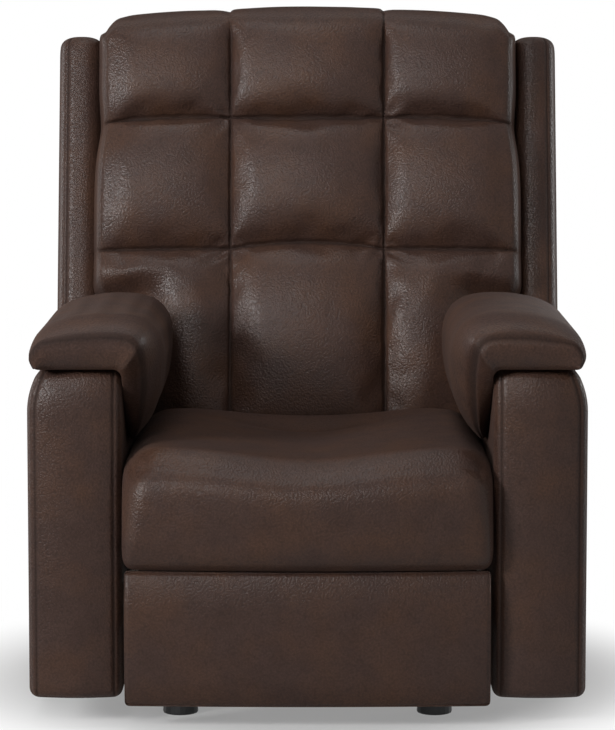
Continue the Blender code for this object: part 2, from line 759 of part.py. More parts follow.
def build_seat_cushion(seat):
    section = seat_section()
    core = Vector(((SEAT_NOSE_Y + SEAT_REAR_Y) / 2, SEAT_DECK_TOP + 0.050))
    half = ARM_INNER - SEAT_SIDE_GAP
    stations = [(-half, 0.86), (-half + 0.007, 0.95), (-half + 0.030, 1), (-half * 0.5, 1), (0, 1)]
    stations += [(-x, fullness) for x, fullness in stations[3::-1]]
    rings = []
    for x, fullness in stations:
        crown = SEAT_CROWN * (1 - (x / half) ** 2)
        ring = []
        for point in section:
            y = core.x + (point.x - core.x) * (0.6 + 0.4 * fullness)
            z = core.y + (point.y - core.y) * fullness
            ring.append((x, y, z + crown * (point.y > SEAT_TOP - 0.030)))
        rings.append(ring)
    add_piece("seat_cushion", loft_mesh("seat", rings), LEATHER, seat, smooth_angle=60)


# Back, drawn along its own leaning axes


def build_back(back):
    leaning = Matrix.Translation(RECLINE_PIVOT) @ Matrix.Rotation(-BACK_LEAN, 4, "X")
    add_piece("back_cushion", loft_mesh("back", back_rings()), LEATHER, back, leaning, 60)
    frame_front = CUSHION_REAR + SEAT_FIT
    shell_front = frame_front + FRAME_THICK + SEAT_FIT
    frame = back_board(FRAME_WAIST_HALF, BACK_HALF_WIDTH - 0.012, BACK_FOOT + 0.010, BACK_TOP - 0.060)
    add_board("back_frame", frame, frame_front, FRAME_THICK, BEECH, back, leaning)
    shell = back_board(BACK_WAIST_HALF, BACK_HALF_WIDTH, SHELL_FOOT, BACK_TOP - 0.030)
    shell_thick = SHELL_REAR - shell_front
    board = add_board("back_shell", shell, shell_front, shell_thick, LEATHER, back, leaning)
    bevel(board, 0.014, 3)
    for side, sign in both_sides():
        wing = loft_mesh("wing", wing_rings(sign))
        add_piece(f"back_wing_{side}", wing, LEATHER, back, leaning, 60)
        build_back_bracket(side, sign, back)


def spread(edges, steps):
    """Steps from 0 to 1 across each cell between edges, with the cell's own fraction kept."""
    places = []
    for low, high in zip(edges, edges[1:]):
        places += [(low + (high - low) * step, step) for step in steps]
    return places + [(edges[-1], 1)]


def pillow(fraction):
    """How full a sewn cell is at a fraction of its width: nothing at a seam, one in the middle."""
    return math.sqrt(max(math.sin(math.pi * fraction), 0))


def back_rings():
    """Level rings of the back cushion, with three by three sewn cells on its front."""
    steps = (0, 0.10, 0.32, 0.68, 0.90)
    levels = spread((BACK_FOOT, *ROW_SEAMS, BACK_TOP), steps)
    low, high = levels[0][0], ROW_SEAMS[0]
    levels += [(z, (z - low) / (high - low)) for z in (SHOULDER, SHOULDER + SHOULDER_RISE)]
    rings = []
    for z, row in sorted(levels):
        half = BACK_HALF_WIDTH if z > SHOULDER + SHOULDER_RISE / 2 else BACK_WAIST_HALF
        rings.append(back_ring(z, row, half, steps))
    return rings


def back_ring(z, row, half, steps):
    above = max((z - SHOULDER) / (BACK_TOP - SHOULDER), 0)
    closing = min(rounding(BACK_TOP - z, 0.045), rounding(z - BACK_FOOT, 0.060))
    ring = []
    for x, column in spread((-half, -COLUMN_SEAM, COLUMN_SEAM, half), steps):
        edge = rounding(half - abs(x), 0.030)
        depth = CUSHION_DEPTH * min(edge, closing) + TUFT_DEPTH * pillow(column) * pillow(row)
        ring.append((x, -depth, z - BACK_ARCH * above * (x / half) ** 2))
    for share in (1, 0.5, 0, -0.5, -1):
        ring.append((share * half, CUSHION_REAR, z - BACK_ARCH * above * share**2))
    return ring


def rounding(distance, radius):
    """Share of full depth at a distance from a rounded edge."""
    inside = 1 - min(distance / radius, 1)
    return 0.40 + 0.60 * math.sqrt(1 - inside**2)


def back_board(waist, half, foot, top):
    corners = [(-waist, foot), (waist, foot), (waist, SHOULDER), (half, SHOULDER + SHOULDER_RISE)]
    corners += [(half, top), (-half, top), (-half, SHOULDER + SHOULDER_RISE), (-waist, SHOULDER)]
    return cushion_outline(corners, 0.012, 3)


def add_board(name, outline, front, thickness, finish, body, leaning):
    """A board of the back, drawn in (x, z) and extruded rearwards from its front face."""
    mesh = flat_mesh(name, outline, (), thickness)
    mesh.transform(Matrix.Translation((0, front + thickness / 2, 0)) @ Matrix.Rotation(math.pi / 2, 4, "X"))
    return add_piece(name, mesh, finish, body, leaning)


def wing_rings(sign):
    """Level rings of the side roll, flat against the back and round at its ends."""
    inner = BACK_HALF_WIDTH + 0.0005
    middle = (WING_FRONT + SHELL_REAR) / 2
    depth = (SHELL_REAR - WING_FRONT) / 2
    corners = [(0, -depth), (WING_WIDTH, -depth), (WING_WIDTH, depth), (0, depth)]
    outline = cushion_outline(corners, 0.030)
    foot = SHOULDER + SHOULDER_RISE
    stations = [(foot, 0.70), (foot + 0.008, 0.90), (foot + 0.030, 1), ((foot + WING_TOP) / 2, 1)]
    stations += [(WING_TOP - 0.045, 1), (WING_TOP - 0.012, 0.84), (WING_TOP, 0.56)]
    rings = []
    for z, fullness in stations:
        rings.append([(sign * (inner + p.x * fullness), middle + p.y * fullness, z) for p in outline])
    return rings


def build_back_bracket(side, sign, back):
    """The steel bracket that joins the back's frame to the recline pivot."""
    corners = [(-0.022, -0.022), (0.030, -0.022), (0.050, 0.010), (0.050, 0.190), (0.016, 0.190), (-0.022, 0.030)]
    pivot = Vector(RECLINE_PIVOT.yz)
    lean = Matrix.Rotation(BACK_LEAN, 2)
    outline = [pivot + Vector(point) @ lean for point in cushion_outline(corners, 0.012)]
    pins = ((pivot, sign * (SEAT_PLATE_X + PLATE / 2)),)
    side_plate(f"back_bracket_{side}", outline, sign * LINK_X, PLATE, STEEL, back, pins=pins)


# Footrest and its links


class Linkage:
    """Pivots of the footrest links at rest, in (y, z)."""

    front = FRONT_LINK_PIVOT
    rear = REAR_LINK_PIVOT
    along = direction(FRONT_LINK_ANGLE)
    knee = front + FRONT_LINK_LENGTH * along
    upper_knee = knee - PARALLEL_ARM * along
    lower_end = LOWER_LINK_END
    upper_end = lower_end - PARALLEL_ARM * along
    tail = upper_knee - UPPER_LINK_TAIL * (upper_end - upper_knee).normalized()


def build_links(front_axis, rear_axis, lower_axis, upper_axis):
    seat_face = SEAT_PLATE_X + PLATE / 2
    link_face = LINK_X + PLATE / 2
    for side, sign in both_sides():
        outer_x, inner_x = sign * LINK_X, sign * CROSSED_LINK_X
        holes = [pin_hole(Linkage.knee), pin_hole(Linkage.upper_knee)]
        pins = ((Linkage.front, sign * seat_face),)
        outline = capsule(Linkage.front, Linkage.knee, LINK_HALF_WIDTH)
        side_plate(f"front_link_{side}", outline, outer_x, PLATE, ZINC, front_axis, holes, pins)
        holes = [circle(Linkage.tail, PIN_RADIUS + TAIL_PLAY)]
        pins = ((Linkage.rear, sign * seat_face),)
        outline = capsule(Linkage.rear, Linkage.tail, LINK_HALF_WIDTH)
        side_plate(f"rear_link_{side}", outline, outer_x, PLATE, ZINC, rear_axis, holes, pins)
        holes = [pin_hole(Linkage.lower_end)]
        pins = ((Linkage.knee, sign * link_face),)
        outline = capsule(Linkage.knee, Linkage.lower_end, LINK_HALF_WIDTH)
        side_plate(f"lower_link_{side}", outline, inner_x, PLATE, ZINC, lower_axis, holes, pins)
        holes = [pin_hole(Linkage.upper_end)]
        pins = ((Linkage.upper_knee, sign * link_face), (Linkage.tail, sign * link_face))
        outline = capsule(Linkage.tail, Linkage.upper_end, LINK_HALF_WIDTH)
        side_plate(f"upper_link_{side}", outline, inner_x, PLATE, ZINC, upper_axis, holes, pins)
    tube = drive_tube_centre()
    half = LINK_X - PLATE / 2 - SEAT_FIT
    mesh = cylinder_mesh("tube", (-half, tube.x, tube.y), (half, tube.x, tube.y), TUBE_RADIUS, 20)
    add_piece("drive_tube", mesh, STEEL, front_axis)


def build_footrest(footrest):
    rear = FOOTREST_FRONT_Y + FOOTREST_THICK
    for side, sign in both_sides():
        build_footrest_bracket(side, sign, rear + SEAT_FIT, footrest)
    half = ARM_INNER - FOOTREST_SIDE_GAP
    low, high, front = FOOTREST_BOTTOM, FOOTREST_TOP, FOOTREST_FRONT_Y
    section = [(rear, low + 0.004), (rear, high - 0.004), (rear - 0.005, high), (front + 0.008, high)]
    section += [(front + 0.001, high - 0.008), (front - FOOTREST_CROWN, (low + high) / 2 + 0.050)]
    section += [(front - FOOTREST_CROWN, (low + high) / 2 - 0.050), (front + 0.001, low + 0.008)]
    section += [(front + 0.008, low), (rear - 0.005, low)]
    stations = [(-half, 0.80), (-half + 0.005, 0.97), (-half + 0.030, 1), (0, 1)]
    stations += [(-x, fullness) for x, fullness in stations[2::-1]]
    middle = Vector((rear - 0.012, (low + high) / 2))
    rings = []
    for x, fullness in stations:
        tall = 0.9 + 0.1 * fullness
        ring = [(x, middle.x + (y - middle.x) * fullness, middle.y + (z - middle.y) * tall) for y, z in section]
        rings.append(ring)
    add_piece("footrest_pad", loft_mesh("pad", rings), LEATHER, footrest)


def build_footrest_bracket(side, sign, face, footrest):
    """The steel bracket behind the footrest, on the ends of the upper and lower links."""
    lower, upper = Linkage.lower_end, Linkage.upper_end
    corners = [(face, lower.y - 0.030), (face + 0.012, lower.y - 0.030), (lower.x + 0.014, lower.y - 0.012)]
    corners += [(lower.x + 0.014, lower.y + 0.010), (upper.x + 0.014, upper.y + 0.014), (face, upper.y + 0.020)]
    link_face = CROSSED_LINK_X + PLATE / 2
    pins = ((lower, sign * link_face), (upper, sign * link_face))
    outline = cushion_outline(corners, 0.005)
    side_plate(f"footrest_bracket_{side}", outline, sign * BRACKET_X, PLATE, STEEL, footrest, pins=pins)


def in_plane(point):
    return (0, point.x, point.y)


def main():
    clear_scene()
    make_collections()
    build_base()
    build_rocker_springs()
    chair = joint_axis("rock_axis", (0, 0, ROCK_Z))
    build_chair(chair)
    build_controls(chair)
    build_actuator(chair)
    swing_front = joint_axis("swing_front_axis", in_plane(swing_foot(SWING_FRONT_TOP)), chair)
    swing_rear = joint_axis("swing_rear_axis", in_plane(swing_foot(SWING_REAR_TOP)), chair)
    build_swing_links("front", SWING_FRONT_TOP, swing_front)
    build_swing_links("rear", SWING_REAR_TOP, swing_rear)
    seat = joint_axis("seat_axis", in_plane(SWING_FRONT_TOP), swing_front)
    build_seat(seat)
    build_back(joint_axis("recline_axis", RECLINE_PIVOT, seat))
    front_link = joint_axis("front_link_axis", in_plane(Linkage.front), seat)
    rear_link = joint_axis("rear_link_axis", in_plane(Linkage.rear), seat)
    lower_link = joint_axis("lower_link_axis", in_plane(Linkage.knee), front_link)
    upper_link = joint_axis("upper_link_axis", in_plane(Linkage.upper_knee), front_link)
    build_links(front_link, rear_link, lower_link, upper_link)
    build_footrest(joint_axis("footrest_axis", in_plane(Linkage.lower_end), lower_link))


main()
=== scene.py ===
"""Looks of a power rocker recliner in dark brown leather.

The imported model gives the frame, in metres: +Z up, the sitter faces -Y and +X is on the right of
someone who looks at the front. Every soft piece is modelled here as stuffed leather, and the steel,
wood and plastic of the mechanism get their finishes.
"""

import json
import logging
import math
from collections.abc import Callable, Sequence
from dataclasses import dataclass, field
from enum import Enum

import bmesh
import bpy
from mathutils import Matrix, Vector


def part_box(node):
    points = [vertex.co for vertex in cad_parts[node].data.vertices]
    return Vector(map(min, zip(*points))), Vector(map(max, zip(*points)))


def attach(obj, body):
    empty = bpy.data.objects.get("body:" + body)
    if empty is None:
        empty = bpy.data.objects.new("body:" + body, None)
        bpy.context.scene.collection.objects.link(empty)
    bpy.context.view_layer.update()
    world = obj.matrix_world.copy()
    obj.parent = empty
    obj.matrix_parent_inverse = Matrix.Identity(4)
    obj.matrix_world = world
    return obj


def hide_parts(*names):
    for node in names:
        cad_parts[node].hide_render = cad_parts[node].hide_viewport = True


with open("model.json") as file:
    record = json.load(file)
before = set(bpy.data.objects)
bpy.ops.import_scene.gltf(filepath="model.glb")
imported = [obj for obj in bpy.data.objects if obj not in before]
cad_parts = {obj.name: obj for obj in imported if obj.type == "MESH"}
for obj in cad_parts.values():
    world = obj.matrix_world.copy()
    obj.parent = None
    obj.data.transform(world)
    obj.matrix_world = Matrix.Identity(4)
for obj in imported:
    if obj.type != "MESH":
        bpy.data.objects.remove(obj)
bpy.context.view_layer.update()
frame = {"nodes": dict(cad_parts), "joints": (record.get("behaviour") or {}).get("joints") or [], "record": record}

log = logging.getLogger("recliner")

MM = 0.001
# The seam attribute sinks and dulls the seams, and carries the leather's painted shade into them.
SEAM = "seam"
HELD = "held"
# A block's faces lie at -1 and 1. A point past this lies on one of them.
FACE = 0.999

Shape = Callable[[Vector], Vector]
Weight = Callable[[Vector], float]
Tree = bpy.types.NodeTree
Socket = bpy.types.NodeSocket


class Side(Enum):
    """A side of the chair, as seen from its front, with the sign of its X."""

    LEFT = -1
    RIGHT = 1

    @property
    def word(self) -> str:
        """The side's name in the names of its pieces."""
        return self.name.lower()


# Colours and nodes


def linear(hex_colour: str, alpha: float = 1.0) -> tuple[float, float, float, float]:
    """Turn an sRGB hex colour to linear light.

    Args:
        hex_colour: Six hex digits, with or without a leading hash.
        alpha: Opacity of the colour.

    Returns:
        Linear red, green, blue and the opacity.
    """
    digits = hex_colour.lstrip("#")
    values = [int(digits[i : i + 2], 16) / 255 for i in (0, 2, 4)]
    red, green, blue = (v / 12.92 if v <= 0.04045 else ((v + 0.055) / 1.055) ** 2.4 for v in values)
    return red, green, blue, alpha


def per_metre(size_mm: float) -> float:
    """Scale of a pattern on Object coordinates whose feature is a size in millimetres."""
    return 1 / (size_mm * MM)


def add_node(
    tree: Tree,
    kind: str,
    inputs: dict[str | int, object] | None = None,
    **settings: object,
) -> bpy.types.Node:
    """Add a node with its settings, and set or link its inputs.

    Args:
        tree: The material's node tree.
        kind: Node type.
        inputs: Input name or index to a value, or to the socket that feeds it.
        **settings: Attributes of the node.

    Returns:
        The new node.
    """
    node = tree.nodes.new(kind)
    for name, value in settings.items():
        setattr(node, name, value)
    for key, source in (inputs or {}).items():
        if isinstance(source, Socket):
            tree.links.new(source, node.inputs[key])
        else:
            node.inputs[key].default_value = source
    return node


def new_material(name: str) -> tuple[bpy.types.Material, Tree, bpy.types.Node]:
    """Make a material and hand over its tree and its Principled shader."""
    made = bpy.data.materials.new(name)
    made.use_nodes = True
    tree = made.node_tree
    return made, tree, tree.nodes["Principled BSDF"]


# Finishes


@dataclass(frozen=True)
class Leather:
    """Pigmented cowhide with a fine pebble grain, wiped with a darker dye.

    The eye gets a soft sheen, warm cloudy patches, and duller folds along the seams, with painted shade in them.
    """

    name: str = "brown pigmented leather"
    dark: str = "#362620"
    middle: str = "#42312b"
    warm: str = "#4d3527"
    # Dye pooled between the pebbles, and also the colour of the painted shade in the seams.
    deep: str = "#140d0b"
    cloud_mm: float = 80
    patch_mm: float = 30
    grain_mm: float = 2.9
    crease_mm: float = 11
    pebble_mm: float = 1.0
    fold_mm: float = 2.2
    roughness: float = 0.35
    uneven: float = 0.05
    glancing: float = 0.85
    seam_dulling: float = 0.45
    painted_seam_shade: float = 0.60
    ior: float = 1.46
    gloss: float = 0.18

    def material(self) -> bpy.types.Material:
        """Build the leather.

        Returns:
            The material, which gets painted shade where the piece's seam attribute is set.
        """
        made, tree, shader = new_material(self.name)
        place = add_node(tree, "ShaderNodeTexCoord").outputs["Object"]
        cloud, patch, crease = (
            add_node(
                tree,
                "ShaderNodeTexNoise",
                {"Vector": place, "Scale": per_metre(size_mm), "Detail": detail, "Roughness": 0.55},
            ).outputs["Fac"]
            for size_mm, detail in ((self.cloud_mm, 4), (self.patch_mm, 5), (self.crease_mm, 6))
        )
        pebbles = add_node(
            tree,
            "ShaderNodeTexVoronoi",
            {"Vector": place, "Scale": per_metre(self.grain_mm), "Randomness": 1.0},
            feature="SMOOTH_F1",
        ).outputs["Distance"]
        seam = add_node(tree, "ShaderNodeAttribute", attribute_name=SEAM).outputs["Fac"]
        tree.links.new(self.colour(tree, cloud, patch, pebbles, seam), shader.inputs["Base Color"])
        tree.links.new(self.dullness(tree, patch, seam), shader.inputs["Roughness"])
        tree.links.new(self.grain(tree, pebbles, crease), shader.inputs["Normal"])
        shader.inputs["IOR"].default_value = self.ior
        shader.inputs["Specular IOR Level"].default_value = self.gloss
        return made

    def colour(self, tree: Tree, cloud: Socket, patch: Socket, pebbles: Socket, seam: Socket) -> Socket:
        """Blend the dye: dark to middle in patches, warm in clouds, deep in pebble pits, and painted shade in
        seams.

        Args:
            tree: The material's node tree.
            cloud: Value of the wide noise.
            patch: Value of the small noise.
            pebbles: Distance from the middle of a pebble.
            seam: Value of the seam attribute.

        Returns:
            The colour socket.
        """
        spread = add_node(tree, "ShaderNodeMapRange", {"Value": patch, "From Min": 0.10, "From Max": 0.80})
        warmth = add_node(
            tree,
            "ShaderNodeMapRange",
            {"Value": cloud, "From Min": 0.42, "From Max": 0.75, "To Max": 0.65},
        )
        # Unclamped, so that the tops of the pebbles are a little paler than the dye.
        pit = add_node(
            tree,
            "ShaderNodeMapRange",
            {"Value": pebbles, "From Min": 0.15, "From Max": 0.60, "To Min": -0.13, "To Max": 0.22},
            clamp=False,
        )
        # Painted shade: the seam attribute darkens the dye towards the deep colour along the seams.
        shade = add_node(tree, "ShaderNodeMath", {0: seam, 1: self.painted_seam_shade}, operation="MULTIPLY")
        colour: object = linear(self.dark)
        layers = ((spread, self.middle), (warmth, self.warm), (pit, self.deep), (shade, self.deep))
        for share, dye in layers:
            mix = add_node(
                tree,
                "ShaderNodeMix",
                {0: share.outputs[0], 6: colour, 7: linear(dye)},
                data_type="RGBA",
                clamp_factor=share is not pit,
            )
            colour = mix.outputs[2]
        return colour

    def dullness(self, tree: Tree, patch: Socket, seam: Socket) -> Socket:
        """Roughness: uneven in patches, dull along seams, and duller where it is seen at a glance.

        Args:
            tree: The material's node tree.
            patch: Value of the small noise.
            seam: Value of the seam attribute.

        Returns:
            The roughness socket.
        """
        rough = add_node(
            tree,
            "ShaderNodeMapRange",
            {
                "Value": patch,
                "To Min": self.roughness - self.uneven,
                "To Max": self.roughness + self.uneven,
            },
        )
        dull = add_node(
            tree,
            "ShaderNodeMath",
            {0: seam, 1: self.seam_dulling, 2: rough.outputs["Result"]},
            operation="MULTIPLY_ADD",
        )
        facing = add_node(tree, "ShaderNodeLayerWeight").outputs["Facing"]
        glance = add_node(
            tree,
            "ShaderNodeMapRange",
            {"Value": facing, "From Min": 0.40, "From Max": 0.95, "To Max": self.glancing},
        )
        inputs = {0: dull.outputs[0], 1: glance.outputs["Result"]}
        return add_node(tree, "ShaderNodeMath", inputs, operation="ADD").outputs[0]

    def grain(self, tree: Tree, pebbles: Socket, crease: Socket) -> Socket:
        """Bump of pebbles and of faint creases. The pebbles are drawn coarse so that they show.

        Args:
            tree: The material's node tree.
            pebbles: Distance from the middle of a pebble.
            crease: Value of the noise of the creases.

        Returns:
            The normal socket.
        """
        raised = add_node(
            tree,
            "ShaderNodeBump",
            {"Height": pebbles, "Strength": 0.66, "Distance": self.pebble_mm * MM},
            invert=True,
        )
        inputs = {"Height": crease, "Strength": 0.07, "Distance": self.fold_mm * MM}
        inputs["Normal"] = raised.outputs["Normal"]
        return add_node(tree, "ShaderNodeBump", inputs).outputs["Normal"]


@dataclass(frozen=True)
class Beech:
    """Planed beech, oiled: pale pinkish brown with fine rays along its length."""

    name: str = "planed beech"
    pale: str = "#c39a6b"
    dark: str = "#9a6f45"
    ray_mm: float = 6

    def material(self) -> bpy.types.Material:
        """Build the wood, with its grain along X."""
        made, tree, shader = new_material(self.name)
        place = add_node(tree, "ShaderNodeTexCoord").outputs["Object"]
        drawn = add_node(tree, "ShaderNodeMapping", {"Vector": place, "Scale": (0.12, 1, 1)})
        inputs = {"Vector": drawn.outputs["Vector"], "Scale": per_metre(self.ray_mm), "Detail": 5}
        rays = add_node(tree, "ShaderNodeTexNoise", inputs)
        mix = add_node(
            tree,
            "ShaderNodeMix",
            {0: rays.outputs["Fac"], 6: linear(self.dark), 7: linear(self.pale)},
            data_type="RGBA",
        )
        tree.links.new(mix.outputs[2], shader.inputs["Base Color"])
        raised = add_node(
            tree,
            "ShaderNodeBump",
            {"Height": rays.outputs["Fac"], "Strength": 0.15, "Distance": 0.4 * MM},
        )
        tree.links.new(raised.outputs["Normal"], shader.inputs["Normal"])
        shader.inputs["Roughness"].default_value = 0.55
        return made


@dataclass(frozen=True)
class Metal:
    """A metal surface: steel under powder coat, zinc plate or a satin brush."""

    name: str
    light: str
    dark: str
    metallic: float
    roughness: float
    grit_mm: float
    relief: float

    def material(self) -> bpy.types.Material:
        """Build the metal, cloudy in colour and gritty in relief."""
        made, tree, shader = new_material(self.name)
        place = add_node(tree, "ShaderNodeTexCoord").outputs["Object"]
        grit = add_node(
            tree, "ShaderNodeTexNoise", {"Vector": place, "Scale": per_metre(self.grit_mm), "Detail": 4}
        )
        mix = add_node(
            tree,
            "ShaderNodeMix",
            {0: grit.outputs["Fac"], 6: linear(self.dark), 7: linear(self.light)},
            data_type="RGBA",
        )
        tree.links.new(mix.outputs[2], shader.inputs["Base Color"])
        rough = add_node(
            tree,
            "ShaderNodeMapRange",
            {
                "Value": grit.outputs["Fac"],
                "To Min": self.roughness - 0.08,
                "To Max": self.roughness + 0.08,
            },
        )
        tree.links.new(rough.outputs["Result"], shader.inputs["Roughness"])
        raised = add_node(
            tree,
            "ShaderNodeBump",
            {"Height": grit.outputs["Fac"], "Strength": self.relief, "Distance": 0.3 * MM},
        )
        tree.links.new(raised.outputs["Normal"], shader.inputs["Normal"])
        shader.inputs["Metallic"].default_value = self.metallic
        return made


LEATHER = Leather().material()
BEECH = Beech().material()
POWDER_COAT = Metal("black powder coat", "#26272a", "#17181a", 0.0, 0.45, 2.0, 0.25).material()
ZINC = Metal("bright zinc plate", "#c9c8c0", "#9b9a92", 1.0, 0.32, 9.0, 0.05).material()
SATIN = Metal("satin nickel", "#b5b5b2", "#8e8e8b", 1.0, 0.30, 3.0, 0.05).material()
ABS = Metal("moulded black ABS", "#1b1b1d", "#121214", 0.0, 0.48, 1.2, 0.30).material()


# Meshes


def soft_block(
    name: str,
    counts: Sequence[int],
    shape: Shape,
    seam: Weight | None = None,
    held: Weight | None = None,
) -> bpy.types.Object:
    """Make a closed block of even faces and move its points to their places.

    Args:
        name: Name of the piece.
        counts: Faces along X, Y and Z.
        shape: Gives a point's place from its place on a cube from -1 to 1.
        seam: Gives how near a point of that cube is to a seam, from 0 to 1.
        held: Gives how firmly the foam holds a point of that cube, from 0 to 1.

    Returns:
        The piece, with its seam and held attributes.
    """
    block = bmesh.new()
    bmesh.ops.create_cube(block, size=2)
    for axis, count in enumerate(counts):
        along = [e for e in block.edges if abs(e.verts[0].co[axis] - e.verts[1].co[axis]) > 1e-6]
        bmesh.ops.subdivide_edges(block, edges=along, cuts=count - 1, use_grid_fill=True)
    sewn = block.verts.layers.float.new(SEAM)
    pinned = block.verts.layers.float.new(HELD)
    for vert in block.verts:
        vert[sewn] = seam(vert.co) if seam else 0.0
        vert[pinned] = held(vert.co) if held else 1.0
        vert.co = shape(vert.co)
    bmesh.ops.recalc_face_normals(block, faces=block.faces)
    return as_object(name, block)


def as_object(name: str, shape: bmesh.types.BMesh) -> bpy.types.Object:
    """Turn a bmesh into a smooth piece in the scene and free it."""
    mesh = bpy.data.meshes.new(name)
    shape.to_mesh(mesh)
    shape.free()
    mesh.shade_smooth()
    piece = bpy.data.objects.new(name, mesh)
    bpy.context.scene.collection.objects.link(piece)
    return piece


def gather(value: float, pull: float = 0.55) -> float:
    """Draw a place from -1 to 1 towards its nearer end, so that faces are small along edges."""
    return value + pull * math.sin(math.pi * value) / math.pi


def soften(point: Vector, half: Vector, radius: float) -> Vector:
    """Place a point of a cube from -1 to 1 on a box with round edges.

    Args:
        point: The point on the cube.
        half: Half the box's size.
        radius: Radius of the box's edges.

    Returns:
        The point on the rounded box, about the box's middle.
    """
    spot = Vector(gather(p) * h for p, h in zip(point, half))
    core = Vector(max(-(h - radius), min(h - radius, s)) for s, h in zip(spot, half))
    away = spot - core
    return core + away.normalized() * radius if away.length > 1e-9 else spot


def smooth_step(value: float, low: float, high: float) -> float:
    """Rise smoothly from 0 at low to 1 at high."""
    share = max(0.0, min(1.0, (value - low) / (high - low)))
    return share * share * (3 - 2 * share)


def near(distance: float, width: float) -> float:
    """How near a seam is: 1 on it and almost nothing two widths away."""
    return math.exp(-((distance / width) ** 2))


@dataclass(frozen=True)
class Stuffing:
    """How a leather cover is blown up over its foam."""

    pressure: float = 4.0
    cap: float = 0.012
    shrink: float = -0.02
    steps: int = 20
    bending: float = 0.5
    stretch: float = 15
    shear: float = 5
    mass: float = 0.3
    quality: int = 5
    smoothing: int = 3
    loose: float = 0.3

    def fill(self, piece: bpy.types.Object) -> None:
        """Run cloth on the cover and keep how far its points moved, up to the cap.

        Args:
            piece: The cover, with its held attribute. It keeps its faces.
        """
        group = piece.vertex_groups.new(name=HELD)
        for index, held in enumerate(piece.data.attributes[HELD].data):
            group.add([index], held.value, "REPLACE")
        cloth = piece.modifiers.new("stuffing", "CLOTH")
        settings = cloth.settings
        settings.quality = self.quality
        settings.mass = self.mass
        settings.tension_stiffness = self.stretch
        settings.compression_stiffness = self.stretch
        settings.shear_stiffness = self.shear
        settings.bending_stiffness = self.bending
        settings.use_pressure = True
        settings.uniform_pressure_force = self.pressure
        settings.shrink_min = self.shrink
        settings.vertex_group_mass = group.name
        settings.effector_weights.gravity = 0
        cloth.collision_settings.use_collision = False
        cloth.point_cache.frame_end = self.steps
        scene = bpy.context.scene
        for step in range(1, self.steps + 1):
            scene.frame_set(step)
        filled = piece.evaluated_get(bpy.context.evaluated_depsgraph_get()).data
        for vert, moved in zip(piece.data.vertices, [v.co.copy() for v in filled.vertices]):
            travel = moved - vert.co
            if travel.length > self.cap:
                travel *= self.cap / travel.length
            vert.co += travel
        piece.modifiers.remove(cloth)
        piece.vertex_groups.remove(group)
        scene.frame_set(1)
        self.relax(piece)

    def relax(self, piece: bpy.types.Object) -> None:
        """Take small ripples out of the cover, away from its seams."""
        shape = bmesh.new()
        shape.from_mesh(piece.data)
        sewn = shape.verts.layers.float[SEAM]
        loose = [vert for vert in shape.verts if vert[sewn] < self.loose]
        for _ in range(self.smoothing):
            bmesh.ops.smooth_vert(
                shape, verts=loose, factor=0.5, use_axis_x=True, use_axis_y=True, use_axis_z=True
            )
        shape.to_mesh(piece.data)
        shape.free()


def sew(piece: bpy.types.Object, depth: float) -> None:
    """Sink the piece's surface along its seams.

    Args:
        piece: The piece, with its seam attribute.
        depth: How deep a seam lies.
    """
    mesh = piece.data
    seams = mesh.attributes[SEAM].data
    normals = [vert.normal.copy() for vert in mesh.vertices]
    for vert, normal, seam in zip(mesh.vertices, normals, seams):
        vert.co -= normal * depth * seam.value


def subdivide(piece: bpy.types.Object, levels: int = 1) -> None:
    """Smooth a piece with a subdivision surface."""
    modifier = piece.modifiers.new("smooth", "SUBSURF")
    modifier.levels = levels
    modifier.render_levels = levels


def upholster(
    piece: bpy.types.Object,
    body: str,
    node: str,
    stuffing: Stuffing | None = None,
    seam_depth: float = 0.0,
) -> None:
    """Stuff a leather cover, sink its seams, smooth it, and put it in the place of its node.

    Args:
        piece: The cover, with its seam and held attributes.
        body: Body that it moves with.
        node: Node of the frame that it replaces.
        stuffing: How it is blown up, or nothing where the leather is taut over a board.
        seam_depth: How deep its seams lie.
    """
    if stuffing:
        stuffing.fill(piece)
    if seam_depth:
        sew(piece, seam_depth)
    subdivide(piece)
    piece.data.materials.append(LEATHER)
    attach(piece, body)
    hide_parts(node)
    log.info("%s: %d faces on %s", piece.name, len(piece.data.polygons), body)


def node_box(node: str) -> tuple[Vector, Vector]:
    """Lowest and highest corners of a node, as vectors."""
    low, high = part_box(node)
    return Vector(low), Vector(high)


# Studio


@dataclass(frozen=True)
class Lamp:
    """A square soft box: where it hangs, the height on the chair's axis it faces, its side and watts."""

    name: str
    place: tuple[float, float, float]
    aim_height: float
    size: float
    power: float
    spread: float = 180

    def hang(self) -> None:
        """Put the lamp in the scene, with its beam's angle in degrees."""
        light = bpy.data.lights.new(self.name, "AREA")
        light.size = self.size
        light.energy = self.power
        light.spread = math.radians(self.spread)
        lamp = bpy.data.objects.new(self.name, light)
        lamp.location = self.place
        facing = Vector((0, 0, self.aim_height)) - Vector(self.place)
        lamp.rotation_euler = facing.to_track_quat("-Z", "Y").to_euler()
        bpy.context.scene.collection.objects.link(lamp)


